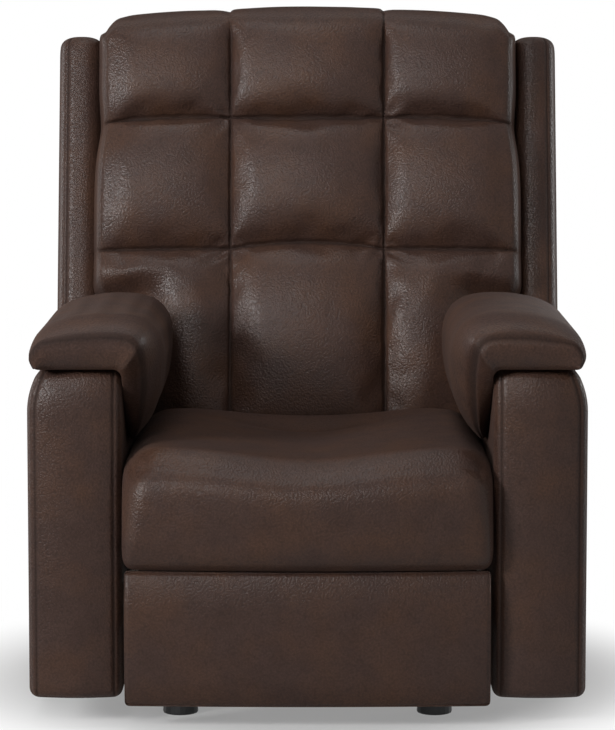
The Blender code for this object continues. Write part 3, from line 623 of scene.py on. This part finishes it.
@dataclass
class Studio:
    """Pale floor, soft light and the camera of the photograph."""

    camera_distance: float = 5.0
    camera_height: float = 1.10
    front_y: float = -0.44
    pitch: float = math.radians(6.125)
    lens_mm: float = 162.9
    sensor_mm: float = 36
    ambient: float = 0.03
    floor_reach: float = 30
    floor_grey: str = "#d2d2d2"
    white: str = "#ffffff"
    shadow_from: float = 0.42
    shadow_to: float = 0.72
    shadow_glow: float = 0.28
    lamps: tuple[Lamp, ...] = (
        Lamp("key", (-3.0, -2.9, 1.8), 0.80, 1.0, 16.5, spread=60),
        Lamp("front", (-0.8, -3.9, 2.6), 0.80, 0.9, 5.8, spread=60),
        Lamp("overhead", (-0.3, -0.7, 3.3), 0.60, 0.9, 16),
        Lamp("rear", (1.0, 3.9, 1.0), 0.55, 1.6, 75),
        Lamp("right", (3.6, 2.6, 1.0), 0.50, 1.6, 70),
        Lamp("left", (-3.6, 2.6, 1.0), 0.50, 1.6, 50),
    )

    def build(self) -> None:
        """Set up the floor, the lights and the camera."""
        bpy.context.scene.view_settings.view_transform = "Standard"
        self.floor()
        self.world()
        for lamp in self.lamps:
            lamp.hang()
        self.camera()

    def floor(self) -> None:
        """Lay a wide white floor, which keeps the chair's shadow, is painted darker round the chair, and runs out
        to plain white.
        """
        shape = bmesh.new()
        bmesh.ops.create_grid(shape, x_segments=1, y_segments=1, size=self.floor_reach)
        plane = as_object("floor", shape)
        made, tree, shader = new_material("white floor")
        shader.inputs["Base Color"].default_value = linear(self.floor_grey)
        shader.inputs["Roughness"].default_value = 0.9
        place = add_node(tree, "ShaderNodeTexCoord").outputs["Object"]
        away = add_node(tree, "ShaderNodeVectorMath", {0: place}, operation="LENGTH")
        # Painted shade round the chair: the white glow fades towards the chair, so the floor there shows the
        # lamps' real shadow and is darker even where lit.
        fade = add_node(
            tree,
            "ShaderNodeMapRange",
            {
                "Value": away.outputs["Value"],
                "From Min": self.shadow_from,
                "From Max": self.shadow_to,
                "To Min": self.shadow_glow,
            },
            interpolation_type="SMOOTHSTEP",
        )
        share = add_node(
            tree, "ShaderNodeMath", {0: fade.outputs["Result"], 1: self.seen(tree)}, operation="MULTIPLY"
        )
        glow = add_node(tree, "ShaderNodeEmission", {"Color": linear(self.white), "Strength": 1.0})
        mix = add_node(
            tree,
            "ShaderNodeMixShader",
            {0: share.outputs[0], 1: shader.outputs["BSDF"], 2: glow.outputs["Emission"]},
        )
        tree.links.new(mix.outputs["Shader"], tree.nodes["Material Output"].inputs["Surface"])
        plane.data.materials.append(made)

    @staticmethod
    def seen(tree: Tree) -> Socket:
        """A value of 1 for rays that show the background: from the camera, a gloss or glass."""
        path = add_node(tree, "ShaderNodeLightPath").outputs
        seen = path["Is Camera Ray"]
        for ray in ("Is Glossy Ray", "Is Transmission Ray"):
            inputs = {0: seen, 1: path[ray]}
            seen = add_node(tree, "ShaderNodeMath", inputs, operation="MAXIMUM").outputs[0]
        return seen

    def world(self) -> None:
        """Light the room evenly, and show white to the camera and to reflections."""
        world = bpy.data.worlds.new("studio")
        bpy.context.scene.world = world
        world.use_nodes = True
        tree = world.node_tree
        background = tree.nodes["Background"]
        background.inputs["Color"].default_value = linear(self.white)
        strength = add_node(
            tree, "ShaderNodeMapRange", {"Value": self.seen(tree), "To Min": self.ambient, "To Max": 1.0}
        )
        tree.links.new(strength.outputs["Result"], background.inputs["Strength"])

    def camera(self) -> None:
        """Stand the camera in front of the chair, at chest height, pitched down."""
        data = bpy.data.cameras.new("camera")
        data.sensor_fit = "VERTICAL"
        data.sensor_height = self.sensor_mm
        data.lens = self.lens_mm
        camera = bpy.data.objects.new("camera", data)
        camera.location = (0, self.front_y - self.camera_distance, self.camera_height)
        camera.rotation_euler = (math.pi / 2 - self.pitch, 0, 0)
        bpy.context.scene.collection.objects.link(camera)
        bpy.context.scene.camera = camera


# Soft pieces


@dataclass
class LeaningAxes:
    """Axes of the back: Z up along its lean and Y through it, from the recline pivot."""

    lean: float = math.radians(14)

    def matrix(self) -> Matrix:
        """The move from the back's own axes to the chair's."""
        pivot = next(joint["pos_m"] for joint in frame["joints"] if joint["name"] == "recline")
        return Matrix.Translation(pivot) @ Matrix.Rotation(-self.lean, 4, "X")


def cell(value: float, marks: Sequence[float], places: Sequence[float]) -> tuple[float, float]:
    """Find a value's place among sewn cells.

    Args:
        value: Where to look, from the first mark to the last.
        marks: Edges of the cells on the block.
        places: The same edges on the piece.

    Returns:
        The place on the piece, and the fraction of its cell, from 0 to 1.
    """
    for low, high, start, end in zip(marks, marks[1:], places, places[1:]):
        if value <= high:
            share = (1 + gather(2 * (value - low) / (high - low) - 1, 0.75)) / 2
            return start + (end - start) * share, share
    return places[-1], 1.0


def pillow(share: float, power: float = 2.2, ease: float = 0.65) -> float:
    """Fullness of a sewn cell: nothing at its seams and one across its middle."""
    return max(0.0, 1 - abs(2 * share - 1) ** power) ** ease


def rim(distance: float, radius: float, least: float) -> float:
    """Share of full depth at a distance from a round edge, which starts at the least."""
    inside = 1 - max(0.0, min(1.0, distance / radius))
    return least + (1 - least) * math.sqrt(1 - inside * inside)


@dataclass(frozen=True)
class Crease:
    """A fold in the leather from one point to another, by X and Z on its piece."""

    start: tuple[float, float]
    end: tuple[float, float]
    depth: float
    width: float

    def sink(self, x: float, z: float) -> float:
        """How far the fold sinks the surface at a point.

        Args:
            x: Place across the piece.
            z: Place up the piece.

        Returns:
            The depth, with a low ridge above it.
        """
        start, end, spot = Vector(self.start), Vector(self.end), Vector((x, z))
        along = end - start
        share = (spot - start).dot(along) / along.length_squared
        fade = smooth_step(share, -0.15, 0.10) * (1 - smooth_step(share, 0.45, 1.0))
        away = (spot - start).cross(along) / along.length / self.width
        return self.depth * fade * (math.exp(-away * away) - 0.6 * math.exp(-((away - 1.6) ** 2)))


@dataclass
class BackCushion:
    """Back cushion of three by three sewn cells, wide above the arms and narrow between them."""

    half_width: float = 0.356
    waist: float = 0.274
    foot: float = -0.030
    top: float = 0.748
    arch: float = 0.018
    corner: float = 0.026
    tuck: float = 0.246
    shoulder: float = 0.222
    depth: float = 0.104
    bulge: float = 0.038
    overhang: float = 0.006
    rear: float = 0.0195
    column: float = 0.131
    rows: tuple[float, float] = (0.320, 0.549)
    row_leans: tuple[float, float, float] = (1.7, 1.0, 0.90)
    least_full: float = 0.25
    middle_full: float = 1.15
    column_depth: float = 0.55
    boxing: float = 0.008
    boxing_seam: float = 0.0025
    boxing_share: float = 0.4
    seam_width: float = 0.0019
    side_rim: tuple[float, float] = (0.016, 0.78)
    top_rim: tuple[float, float] = (0.048, 0.40)
    foot_rim: tuple[float, float] = (0.050, 0.50)
    tuck_rim: tuple[float, float] = (0.042, 0)
    tuck_share: float = 0.34
    flare: float = 0.007
    pinch: float = 0.006
    side_swell: float = 0.005
    top_swell: float = 0.006
    middle_arch: float = 0.010
    side_arch: float = 0.006
    slack: float = 0.12
    counts: tuple[int, int, int] = (108, 12, 112)
    column_marks: tuple[float, ...] = (-1, -40 / 108, 40 / 108, 1)
    row_marks: tuple[float, ...] = (-1, -16 / 112, 48 / 112, 1)
    folds: tuple[Crease, ...] = (
        Crease((0.138, 0.314), (0.195, 0.282), 0.006, 0.006),
        Crease((0.140, 0.540), (0.182, 0.505), 0.004, 0.007),
        Crease((0.138, 0.556), (0.170, 0.590), 0.004, 0.007),
        Crease((0.124, 0.314), (0.092, 0.285), 0.004, 0.007),
        Crease((0.352, 0.612), (0.325, 0.606), 0.005, 0.006),
    )

    def build(self) -> None:
        """Sew, stuff and dress the cushion."""
        self.axes = LeaningAxes().matrix()
        piece = soft_block("back_cushion_cover", self.counts, self.shape, self.seam, self.held)
        stuffing = Stuffing(pressure=4, cap=0.012, shrink=-0.016, bending=2.0)
        upholster(piece, "back", "back_cushion", stuffing, seam_depth=0.0035)

    def half(self, z: float) -> float:
        """Half the width at a height: drawn in at the upper row seam and at the waist."""
        wide = self.half_width + self.flare * smooth_step(0.66 - z, 0, 0.25)
        wide -= self.pinch * near(z - self.rows[1], 0.045)
        above = smooth_step(z, self.shoulder - 0.020, self.shoulder + 0.024)
        return self.waist + (wide - self.waist) * above

    def spread(self, point: Vector) -> tuple[float, float, float, float, float]:
        """Place of a point of the block on the flat cover.

        Args:
            point: The point of the block.

        Returns:
            X, Z, half the width there, and the fractions of the column and of the row.
        """
        z, row = cell(point.z, self.row_marks, (self.foot, *self.rows, self.top))
        half = self.half(z)
        x, column = cell(point.x, self.column_marks, (-half, -self.column, self.column, half))
        return x, z, half, column, row

    def fullness(self, x: float, z: float, column: float, row: float) -> float:
        """How far a cell stands out, from 0 to 1: low rows sag upwards and the top row hangs down."""
        lean = self.row_leans[(z >= self.rows[0]) + (z > self.rows[1])]
        middle = self.middle_full if abs(x) < self.column else 1.0
        seams = self.column_depth * (1 - smooth_step(z, self.top - 0.07, self.top))
        rows = self.least_full + (1 - self.least_full) * pillow(row**lean)
        return middle * rows * (1 - seams + seams * pillow(column))

    def shape(self, point: Vector) -> Vector:
        """Place of a point of the block on the chair."""
        x, z, half, column, row = self.spread(point)
        edge = min(
            rim(half - abs(x), *self.side_rim),
            rim(self.top - z, *self.top_rim),
            rim(z - self.foot, *self.foot_rim),
        )
        tucked = smooth_step(abs(x), self.waist - 0.05, self.waist + 0.02)
        tucked *= 1 - rim(z - self.tuck, *self.tuck_rim)
        edge *= 1 - self.tuck_share * tucked * smooth_step(z, self.shoulder - 0.06, self.shoulder + 0.01)
        front = -(self.depth * edge + self.bulge * self.fullness(x, z, column, row))
        front += sum(fold.sink(abs(x), z) for fold in self.folds)
        share = (point.y + 1) / 2
        facing = 1 - smooth_step(share, 0.0, 0.6)
        swell = 1 - point.y * point.y
        if abs(point.x) > FACE:
            x += math.copysign(self.side_swell * swell, x)
        place = z + (self.top_swell * swell if point.z > FACE else 0)
        above = max(0.0, (z - self.shoulder) / (self.top - self.shoulder))
        place -= self.arch * above * (x / half) ** 2
        place -= self.corner * smooth_step(abs(x), half - 0.030, half) * smooth_step(z, 0.66, self.top)
        if z > self.rows[1]:
            place -= self.overhang * facing * pillow(column) * near(row - 0.10, 0.16) * (row > 0)
        if abs(x) < self.column:
            bow = 1 - (x / self.column) ** 2
            place += self.middle_arch * facing * near(z - self.rows[0], 0.06) * bow
        else:
            bow = math.sin(math.pi * column)
            place += self.side_arch * facing * near(z - self.rows[1], 0.05) * bow
        return self.axes @ Vector((x, front + (self.rear - front) * share, place))

    def seam(self, point: Vector) -> float:
        """How near a point of the block is to a seam."""
        if point.y > -FACE:
            return 0.0
        x, z, half, _, _ = self.spread(point)
        columns = near(abs(x) - self.column, self.seam_width)
        columns *= 1 - smooth_step(z, self.top - 0.06, self.top - 0.005)
        rows = max(near(z - row, self.seam_width) for row in self.rows)
        side = near(half - abs(x) - self.boxing, self.boxing_seam)
        side *= self.boxing_share * smooth_step(z, self.shoulder, 0.30)
        inside = 1 - smooth_step(abs(x), half - self.boxing, half - self.boxing + 0.004)
        return max(columns, rows * inside, side)

    def held(self, point: Vector) -> float:
        """How firmly the foam holds a point of the block."""
        if point.y > 0.3 or self.seam(point) > 0.9:
            return 1.0
        x, _, half, _, _ = self.spread(point)
        return self.slack + (1 - self.slack) * smooth_step(abs(x), half - 0.045, half - 0.010)


@dataclass
class SeatCushion:
    """Seat cushion with a rolled front that drops over the footrest."""

    half_width: float = 0.2842
    front_y: float = -0.474
    rear_y: float = 0.081
    under: float = 0.3158
    top: float = 0.437
    drop: float = 0.068
    edge: float = 0.017
    roll: float = 0.056
    drop_from: float = 0.395
    drop_to: float = 0.450
    hump: float = 0.005
    hump_x: float = 0.19
    sag: float = 0.020
    sag_width: float = 0.13
    valley: float = 0.009
    valley_y: float = -0.045
    valley_width: float = 0.10
    belly: float = 0.016
    bow: float = 0.016
    counts: tuple[int, int, int] = (88, 76, 30)

    def build(self) -> None:
        """Stuff and dress the cushion."""
        piece = soft_block("seat_cushion_cover", self.counts, self.shape, None, self.held)
        stuffing = Stuffing(pressure=4, cap=0.005, shrink=0, smoothing=4)
        upholster(piece, "seat", "seat_cushion", stuffing)

    def crown(self, x: float, y: float) -> float:
        """Height of the top: worn low along its middle, with a valley before the back."""
        hump = self.hump * near(abs(x) - self.hump_x, 0.06) * smooth_step(y, -0.30, 0.00)
        worn = self.sag * near(x, self.sag_width) * (1 - 0.6 * smooth_step(y, -0.06, 0.04))
        valley = self.valley * near(x, self.valley_width) * near(y - self.valley_y, 0.035)
        return self.top + hump - worn - valley

    def shape(self, point: Vector) -> Vector:
        """Place of a point of the block on the chair."""
        tall = (self.top - self.under) / 2
        half = Vector((self.half_width, (self.rear_y - self.front_y) / 2, tall))
        spot = soften(point, half, self.edge + (self.roll - self.edge) * smooth_step(point.z, -0.8, 0.9))
        y = spot.y + (self.front_y + self.rear_y) / 2
        share = (spot.z + tall) / (2 * tall)
        bottom = self.under - self.drop * smooth_step(-y, self.drop_from, self.drop_to)
        top = self.crown(spot.x, y)
        front = smooth_step(-y, 0.40, 0.47)
        full = (1 - max(0.0, 1 - share / 0.28) ** 2) * (1 - max(0.0, share / 0.5 - 1) ** 2)
        y += front * (self.bow * (spot.x / self.half_width) ** 2 - self.belly * full)
        return Vector((spot.x, y, bottom + share * (top - bottom)))

    def held(self, point: Vector) -> float:
        """How firmly the foam holds a point of the block."""
        return 1.0 if point.z < -0.6 or point.y > 0.95 else 0.3


@dataclass
class ArmPad:
    """Pillow over an arm, which folds down over the arm's inner face and has a band at its front."""

    side: Side
    front_y: float = -0.457
    rear_y: float = 0.058
    corner: float = 0.42
    turn: float = 0.05
    fold: float = 0.124
    bend: float = 0.012
    reach: float = 0.126
    sweep: float = 0.190
    tuck: float = 0.017
    pucker: float = 0.0035
    gap: float = 0.0008
    lift: float = 0.0006
    front_roll: float = 0.105
    rear_roll: float = 0.060
    counts: tuple[int, int, int] = (80, 84, 12)
    pillow_x: tuple[float, ...] = (
        0.010, 0.036, 0.055, 0.062, 0.058, 0.041, 0.012, -0.034, -0.080, -0.114, -0.135, -0.144, -0.138,
    )
    pillow_z: tuple[float, ...] = (
        -0.132, -0.100, -0.052, 0.000, 0.040, 0.066, 0.079, 0.082, 0.076, 0.064, 0.046, 0.022, 0.004,
    )
    band_x: tuple[float, ...] = (
        0.008, 0.018, 0.024, 0.028, 0.028, 0.024, 0.012, -0.016, -0.058, -0.096, -0.124, -0.136, -0.130,
    )
    band_z: tuple[float, ...] = (
        -0.128, -0.104, -0.068, -0.028, 0.010, 0.032, 0.046, 0.050, 0.049, 0.045, 0.039, 0.020, 0.004,
    )

    def build(self) -> None:
        """Sew, stuff and dress the pad."""
        word = self.side.word
        low, high = node_box(f"arm_{word}")
        self.inner = min(abs(low.x), abs(high.x)) - self.gap
        self.arm_top = high.z + self.lift
        piece = soft_block(f"arm_pad_{word}_cover", self.counts, self.shape, self.seam, self.held)
        stuffing = Stuffing(pressure=4, cap=0.005, shrink=0, bending=2.0)
        upholster(piece, "chair", f"arm_pad_{word}", stuffing, seam_depth=0.0025)

    def under(self, share: float) -> Vector:
        """Point on the arm below the pad: up its inner face, round its edge and out along its top.

        Args:
            share: How far along, from the foot of the fold to the outer edge.

        Returns:
            X and Z.
        """
        bend = self.bend
        rise = self.arm_top - bend
        if share < self.corner - self.turn:
            foot = self.arm_top - self.fold
            return Vector((self.inner, foot + (rise - foot) * share / (self.corner - self.turn)))
        if share < self.corner + self.turn:
            angle = (share - self.corner + self.turn) * math.pi / (4 * self.turn)
            return Vector((self.inner + bend * (1 - math.cos(angle)), rise + bend * math.sin(angle)))
        out = (share - self.corner - self.turn) / (1 - self.turn - self.corner)
        return Vector((self.inner + bend + (self.reach - bend) * out, self.arm_top))

    def outline(self, share: float, across: Sequence[float], up: Sequence[float]) -> Vector:
        """Point on a smooth outline round the arm.

        Args:
            share: How far along it, from its inner end to its outer one.
            across: Its places inwards from the arm's inner face.
            up: Its heights above the arm.

        Returns:
            X and Z.
        """
        at = share * (len(across) - 1)
        i = min(int(at), len(across) - 2)
        spots = [Vector((self.inner - x, self.arm_top + z)) for x, z in zip(across, up)]
        before, after = spots[max(i - 1, 0)], spots[min(i + 2, len(across) - 1)]
        return catmull(before, spots[i], spots[i + 1], after, at - i)

    def shape(self, point: Vector) -> Vector:
        """Place of a point of the block on the chair."""
        share = (point.x + 1) / 2
        front = self.front_y + self.sweep * max(0.0, 1 - share / self.corner) ** 1.4
        y = front + (self.rear_y - front) * (gather(point.y) + 1) / 2
        low = self.under(share)
        band = self.outline(share, self.band_x, self.band_z)
        full = self.outline(share, self.pillow_x, self.pillow_z)
        high = band.lerp(full, rim(y - front, self.front_roll, 0))
        pull = math.cos(2 * math.pi * (share - self.corner) / 0.035) * near(share - self.corner, 0.04)
        high.y += self.pucker * pull * near(y - front - 0.018, 0.013)
        high = low.lerp(high, rim(self.rear_y - y, self.rear_roll, 0.35))
        depth = (point.z + 1) / 2
        spot = low.lerp(high, depth)
        y += self.tuck * (1 - depth) ** 2 * (1 - smooth_step(y - front, 0, 0.05))
        swell = 0.004 * (1 - point.z * point.z)
        if abs(point.y) > FACE:
            y += math.copysign(swell, point.y)
        return Vector((self.side.value * spot.x, y, spot.y))

    def seam(self, point: Vector) -> float:
        """How near a point of the block is to the seam round the front band."""
        if point.z > FACE:
            return near((gather(point.y) + 1) / 2 * (self.rear_y - self.front_y), 0.005)
        if point.y < -FACE:
            return near((1 - point.z) * 0.024, 0.004)
        return 0.0

    def held(self, point: Vector) -> float:
        """How firmly the foam holds a point of the block."""
        return 1.0 if point.z < 0.1 or self.seam(point) > 0.9 else 0.15


def catmull(before: Vector, start: Vector, end: Vector, after: Vector, share: float) -> Vector:
    """Point on a smooth curve through four points, between the second and the third."""
    square, cube = share * share, share**3
    return 0.5 * (
        2 * start
        + (end - before) * share
        + (2 * before - 5 * start + 4 * end - after) * square
        + (3 * start - before - 3 * end + after) * cube
    )


@dataclass
class Arm:
    """Upholstered arm with a front panel between two welts."""

    side: Side
    edge: float = 0.015
    rear_top_y: float = 0.200
    welt_inset: float = 0.012
    welt_width: float = 0.0026
    taper: float = 0.019
    shoulder: float = 0.87
    crown: float = 0.014
    roll: float = 0.014
    counts: tuple[int, int, int] = (40, 84, 72)

    def build(self) -> None:
        """Sew and dress the arm."""
        word = self.side.word
        self.low, self.high = node_box(f"arm_{word}")
        piece = soft_block(f"arm_{word}_cover", self.counts, self.shape, self.seam)
        upholster(piece, "chair", f"arm_{word}", seam_depth=0.002)

    def shape(self, point: Vector) -> Vector:
        """Place of a point of the block on the chair."""
        half = (self.high - self.low) / 2
        spot = soften(point, half, self.edge)
        rise = (spot.z + half.z) / (2 * half.z)
        lean = 1 - (self.high.y - self.rear_top_y) / (2 * half.y) * rise
        y = -half.y + (spot.y + half.y) * lean
        outward = spot.x * self.side.value / half.x
        upper = max(0.0, (rise - self.shoulder) / (1 - self.shoulder))
        x = spot.x - self.side.value * self.taper * upper**2 * (outward + 1) / 2
        front = 1 - smooth_step(y, -half.y, 0.06 - half.y)
        y += front * (self.crown * outward**2 + self.roll * upper**2)
        return Vector((x, y, spot.z)) + (self.high + self.low) / 2

    def seam(self, point: Vector) -> float:
        """How near a point of the block is to a welt on the front."""
        if point.y > -FACE:
            return 0.0
        half = (self.high.x - self.low.x) / 2
        return near((1 - abs(gather(point.x))) * half - self.welt_inset, self.welt_width)


@dataclass
class BackWing:
    """Side roll beside the back cushion."""

    side: Side
    width: float = 0.077
    front: float = -0.066
    rear: float = 0.117
    foot: float = 0.205
    cut: float = 0.080
    top: float = 0.706
    inner: float = 0.3535
    edge: float = 0.034
    welt_inset: float = 0.013
    welt_width: float = 0.003
    counts: tuple[int, int, int] = (24, 48, 80)

    def build(self) -> None:
        """Sew, stuff and dress the wing."""
        word = self.side.word
        self.axes = LeaningAxes().matrix()
        piece = soft_block(f"back_wing_{word}_cover", self.counts, self.shape, self.seam, self.held)
        stuffing = Stuffing(pressure=3, cap=0.003, shrink=0)
        upholster(piece, "back", f"back_wing_{word}", stuffing, seam_depth=0.002)

    def shape(self, point: Vector) -> Vector:
        """Place of a point of the block on the chair."""
        half = Vector((self.width, self.rear - self.front, self.top - self.foot + self.edge)) / 2
        spot = soften(point, half, self.edge)
        spot.z = max(spot.z, self.edge - half.z)
        cap = max(0.0, 1 - (half.z - spot.z) / self.edge)
        spot.z += self.edge * (math.sqrt(cap) - cap)
        middle = Vector((0, (self.rear + self.front) / 2, (self.top + self.foot - self.edge) / 2))
        outward = spot.x * self.side.value + half.x
        x = self.side.value * (self.inner + outward)
        behind = (spot.y + half.y) / (2 * half.y)
        z = spot.z + self.cut * behind * (half.z - spot.z) / (2 * half.z)
        return self.axes @ (middle + Vector((x, spot.y, z)))

    def seam(self, point: Vector) -> float:
        """How near a point of the block is to the welt by its outer front edge."""
        if point.y > -FACE:
            return 0.0
        inset = (1 - gather(point.x) * self.side.value) * self.width / 2
        return near(inset - self.welt_inset, self.welt_width)

    def held(self, point: Vector) -> float:
        """How firmly the foam holds a point of the block."""
        return 1.0 if point.x * self.side.value < -0.5 else 0.4


@dataclass
class BackShell:
    """Padded rear of the back, with a welt along its sides."""

    half_width: float = 0.3515
    waist: float = 0.274
    foot: float = -0.044
    top: float = 0.726
    shoulder: float = 0.262
    front: float = 0.0335
    rear: float = 0.1165
    edge: float = 0.020
    side_welt: float = 0.030
    top_welt: float = 0.040
    welt_width: float = 0.005
    counts: tuple[int, int, int] = (80, 14, 88)

    def build(self) -> None:
        """Sew and dress the shell."""
        self.axes = LeaningAxes().matrix()
        piece = soft_block("back_shell_cover", self.counts, self.shape, self.seam)
        upholster(piece, "back", "back_shell", seam_depth=0.002)

    def shape(self, point: Vector) -> Vector:
        """Place of a point of the block on the chair."""
        half = Vector((self.half_width, (self.rear - self.front) / 2, (self.top - self.foot) / 2))
        spot = soften(point, half, self.edge)
        z = spot.z + (self.top + self.foot) / 2
        wide = smooth_step(z, self.shoulder - 0.014, self.shoulder + 0.014)
        x = spot.x * (self.waist + (self.half_width - self.waist) * wide) / self.half_width
        y = spot.y + (self.rear + self.front) / 2
        return self.axes @ Vector((x, y, z))

    def seam(self, point: Vector) -> float:
        """How near a point of the block is to the welts on its rear."""
        if point.y < FACE:
            return 0.0
        side = (1 - abs(gather(point.x))) * self.half_width - self.side_welt
        across = (1 - gather(point.z)) * (self.top - self.foot) / 2 - self.top_welt
        above = near(across, self.welt_width) if side > 0 else 0.0
        return max(near(side, self.welt_width), above)


@dataclass
class RearPanel:
    """Leather panel between the arms, low at the rear."""

    lean: float = 0.196
    edge: float = 0.004
    counts: tuple[int, int, int] = (80, 4, 26)

    def build(self) -> None:
        """Dress the panel."""
        self.low, self.high = node_box("rear_panel")
        piece = soft_block("rear_panel_cover", self.counts, self.shape)
        upholster(piece, "chair", "rear_panel")

    def shape(self, point: Vector) -> Vector:
        """Place of a point of the block on the chair."""
        tall = self.high.z - self.low.z
        thick = self.high.y - self.low.y - self.lean * tall
        half = Vector((self.high.x - self.low.x, thick, tall)) / 2
        spot = soften(point, half, self.edge)
        y = spot.y - spot.z * self.lean
        return Vector((spot.x, y, spot.z)) + (self.low + self.high) / 2


@dataclass
class FootrestPad:
    """Padded footrest panel below the seat."""

    edge: float = 0.007
    rise: float = 0.007
    side_crown: float = 0.012
    crown: float = 0.006
    top_roll: float = 0.009
    top_from: float = 0.4
    foot_roll: float = 0.008
    foot_from: float = 0.6
    counts: tuple[int, int, int] = (96, 10, 44)

    def build(self) -> None:
        """Stuff and dress the pad."""
        self.low, self.high = node_box("footrest_pad")
        self.high.z += self.rise
        piece = soft_block("footrest_pad_cover", self.counts, self.shape, None, self.held)
        stuffing = Stuffing(pressure=3, cap=0.003, shrink=0, smoothing=1)
        upholster(piece, "footrest", "footrest_pad", stuffing)

    def shape(self, point: Vector) -> Vector:
        """Place of a point of the block on the chair."""
        half = (self.high - self.low) / 2
        spot = soften(point, half, self.edge)
        across, up = gather(point.x), gather(point.z)
        back = self.side_crown * across**2 + self.crown * up**2
        back += self.top_roll * max(0.0, (up - self.top_from) / (1 - self.top_from)) ** 2
        back += self.foot_roll * max(0.0, (-self.foot_from - up) / (1 - self.foot_from)) ** 2
        return spot + Vector((0, back * (1 - point.y) / 2, 0)) + (self.low + self.high) / 2

    def held(self, point: Vector) -> float:
        """How firmly the board holds a point of the block."""
        return 1.0 if point.y > -0.5 else 0.3


# Mechanism


@dataclass
class Mechanism:
    """Steel, wood and plastic pieces, which keep their shapes and get their finishes."""

    finishes: dict[str, bpy.types.Material] = field(
        default_factory=lambda: {
            "leather": LEATHER,
            "beech": BEECH,
            "black_plastic": ABS,
            "satin_metal": SATIN,
            "zinc": ZINC,
            "black_steel": POWDER_COAT,
        }
    )

    def build(self) -> None:
        """Dress each node with the finish of its slot in the record."""
        slots = {part["node"]: part["material_slot"] for part in frame["record"]["subparts"]}
        for name, node in frame["nodes"].items():
            node.data.materials.clear()
            node.data.materials.append(self.finishes[slots[name]])


def main() -> None:
    """Build the studio and the chair."""
    Studio().build()
    Mechanism().build()
    BackCushion().build()
    SeatCushion().build()
    FootrestPad().build()
    BackShell().build()
    RearPanel().build()
    for side in Side:
        Arm(side).build()
        ArmPad(side).build()
        BackWing(side).build()


if __name__ == "__main__":
    logging.basicConfig(level=logging.INFO, format="%(message)s")
    main()
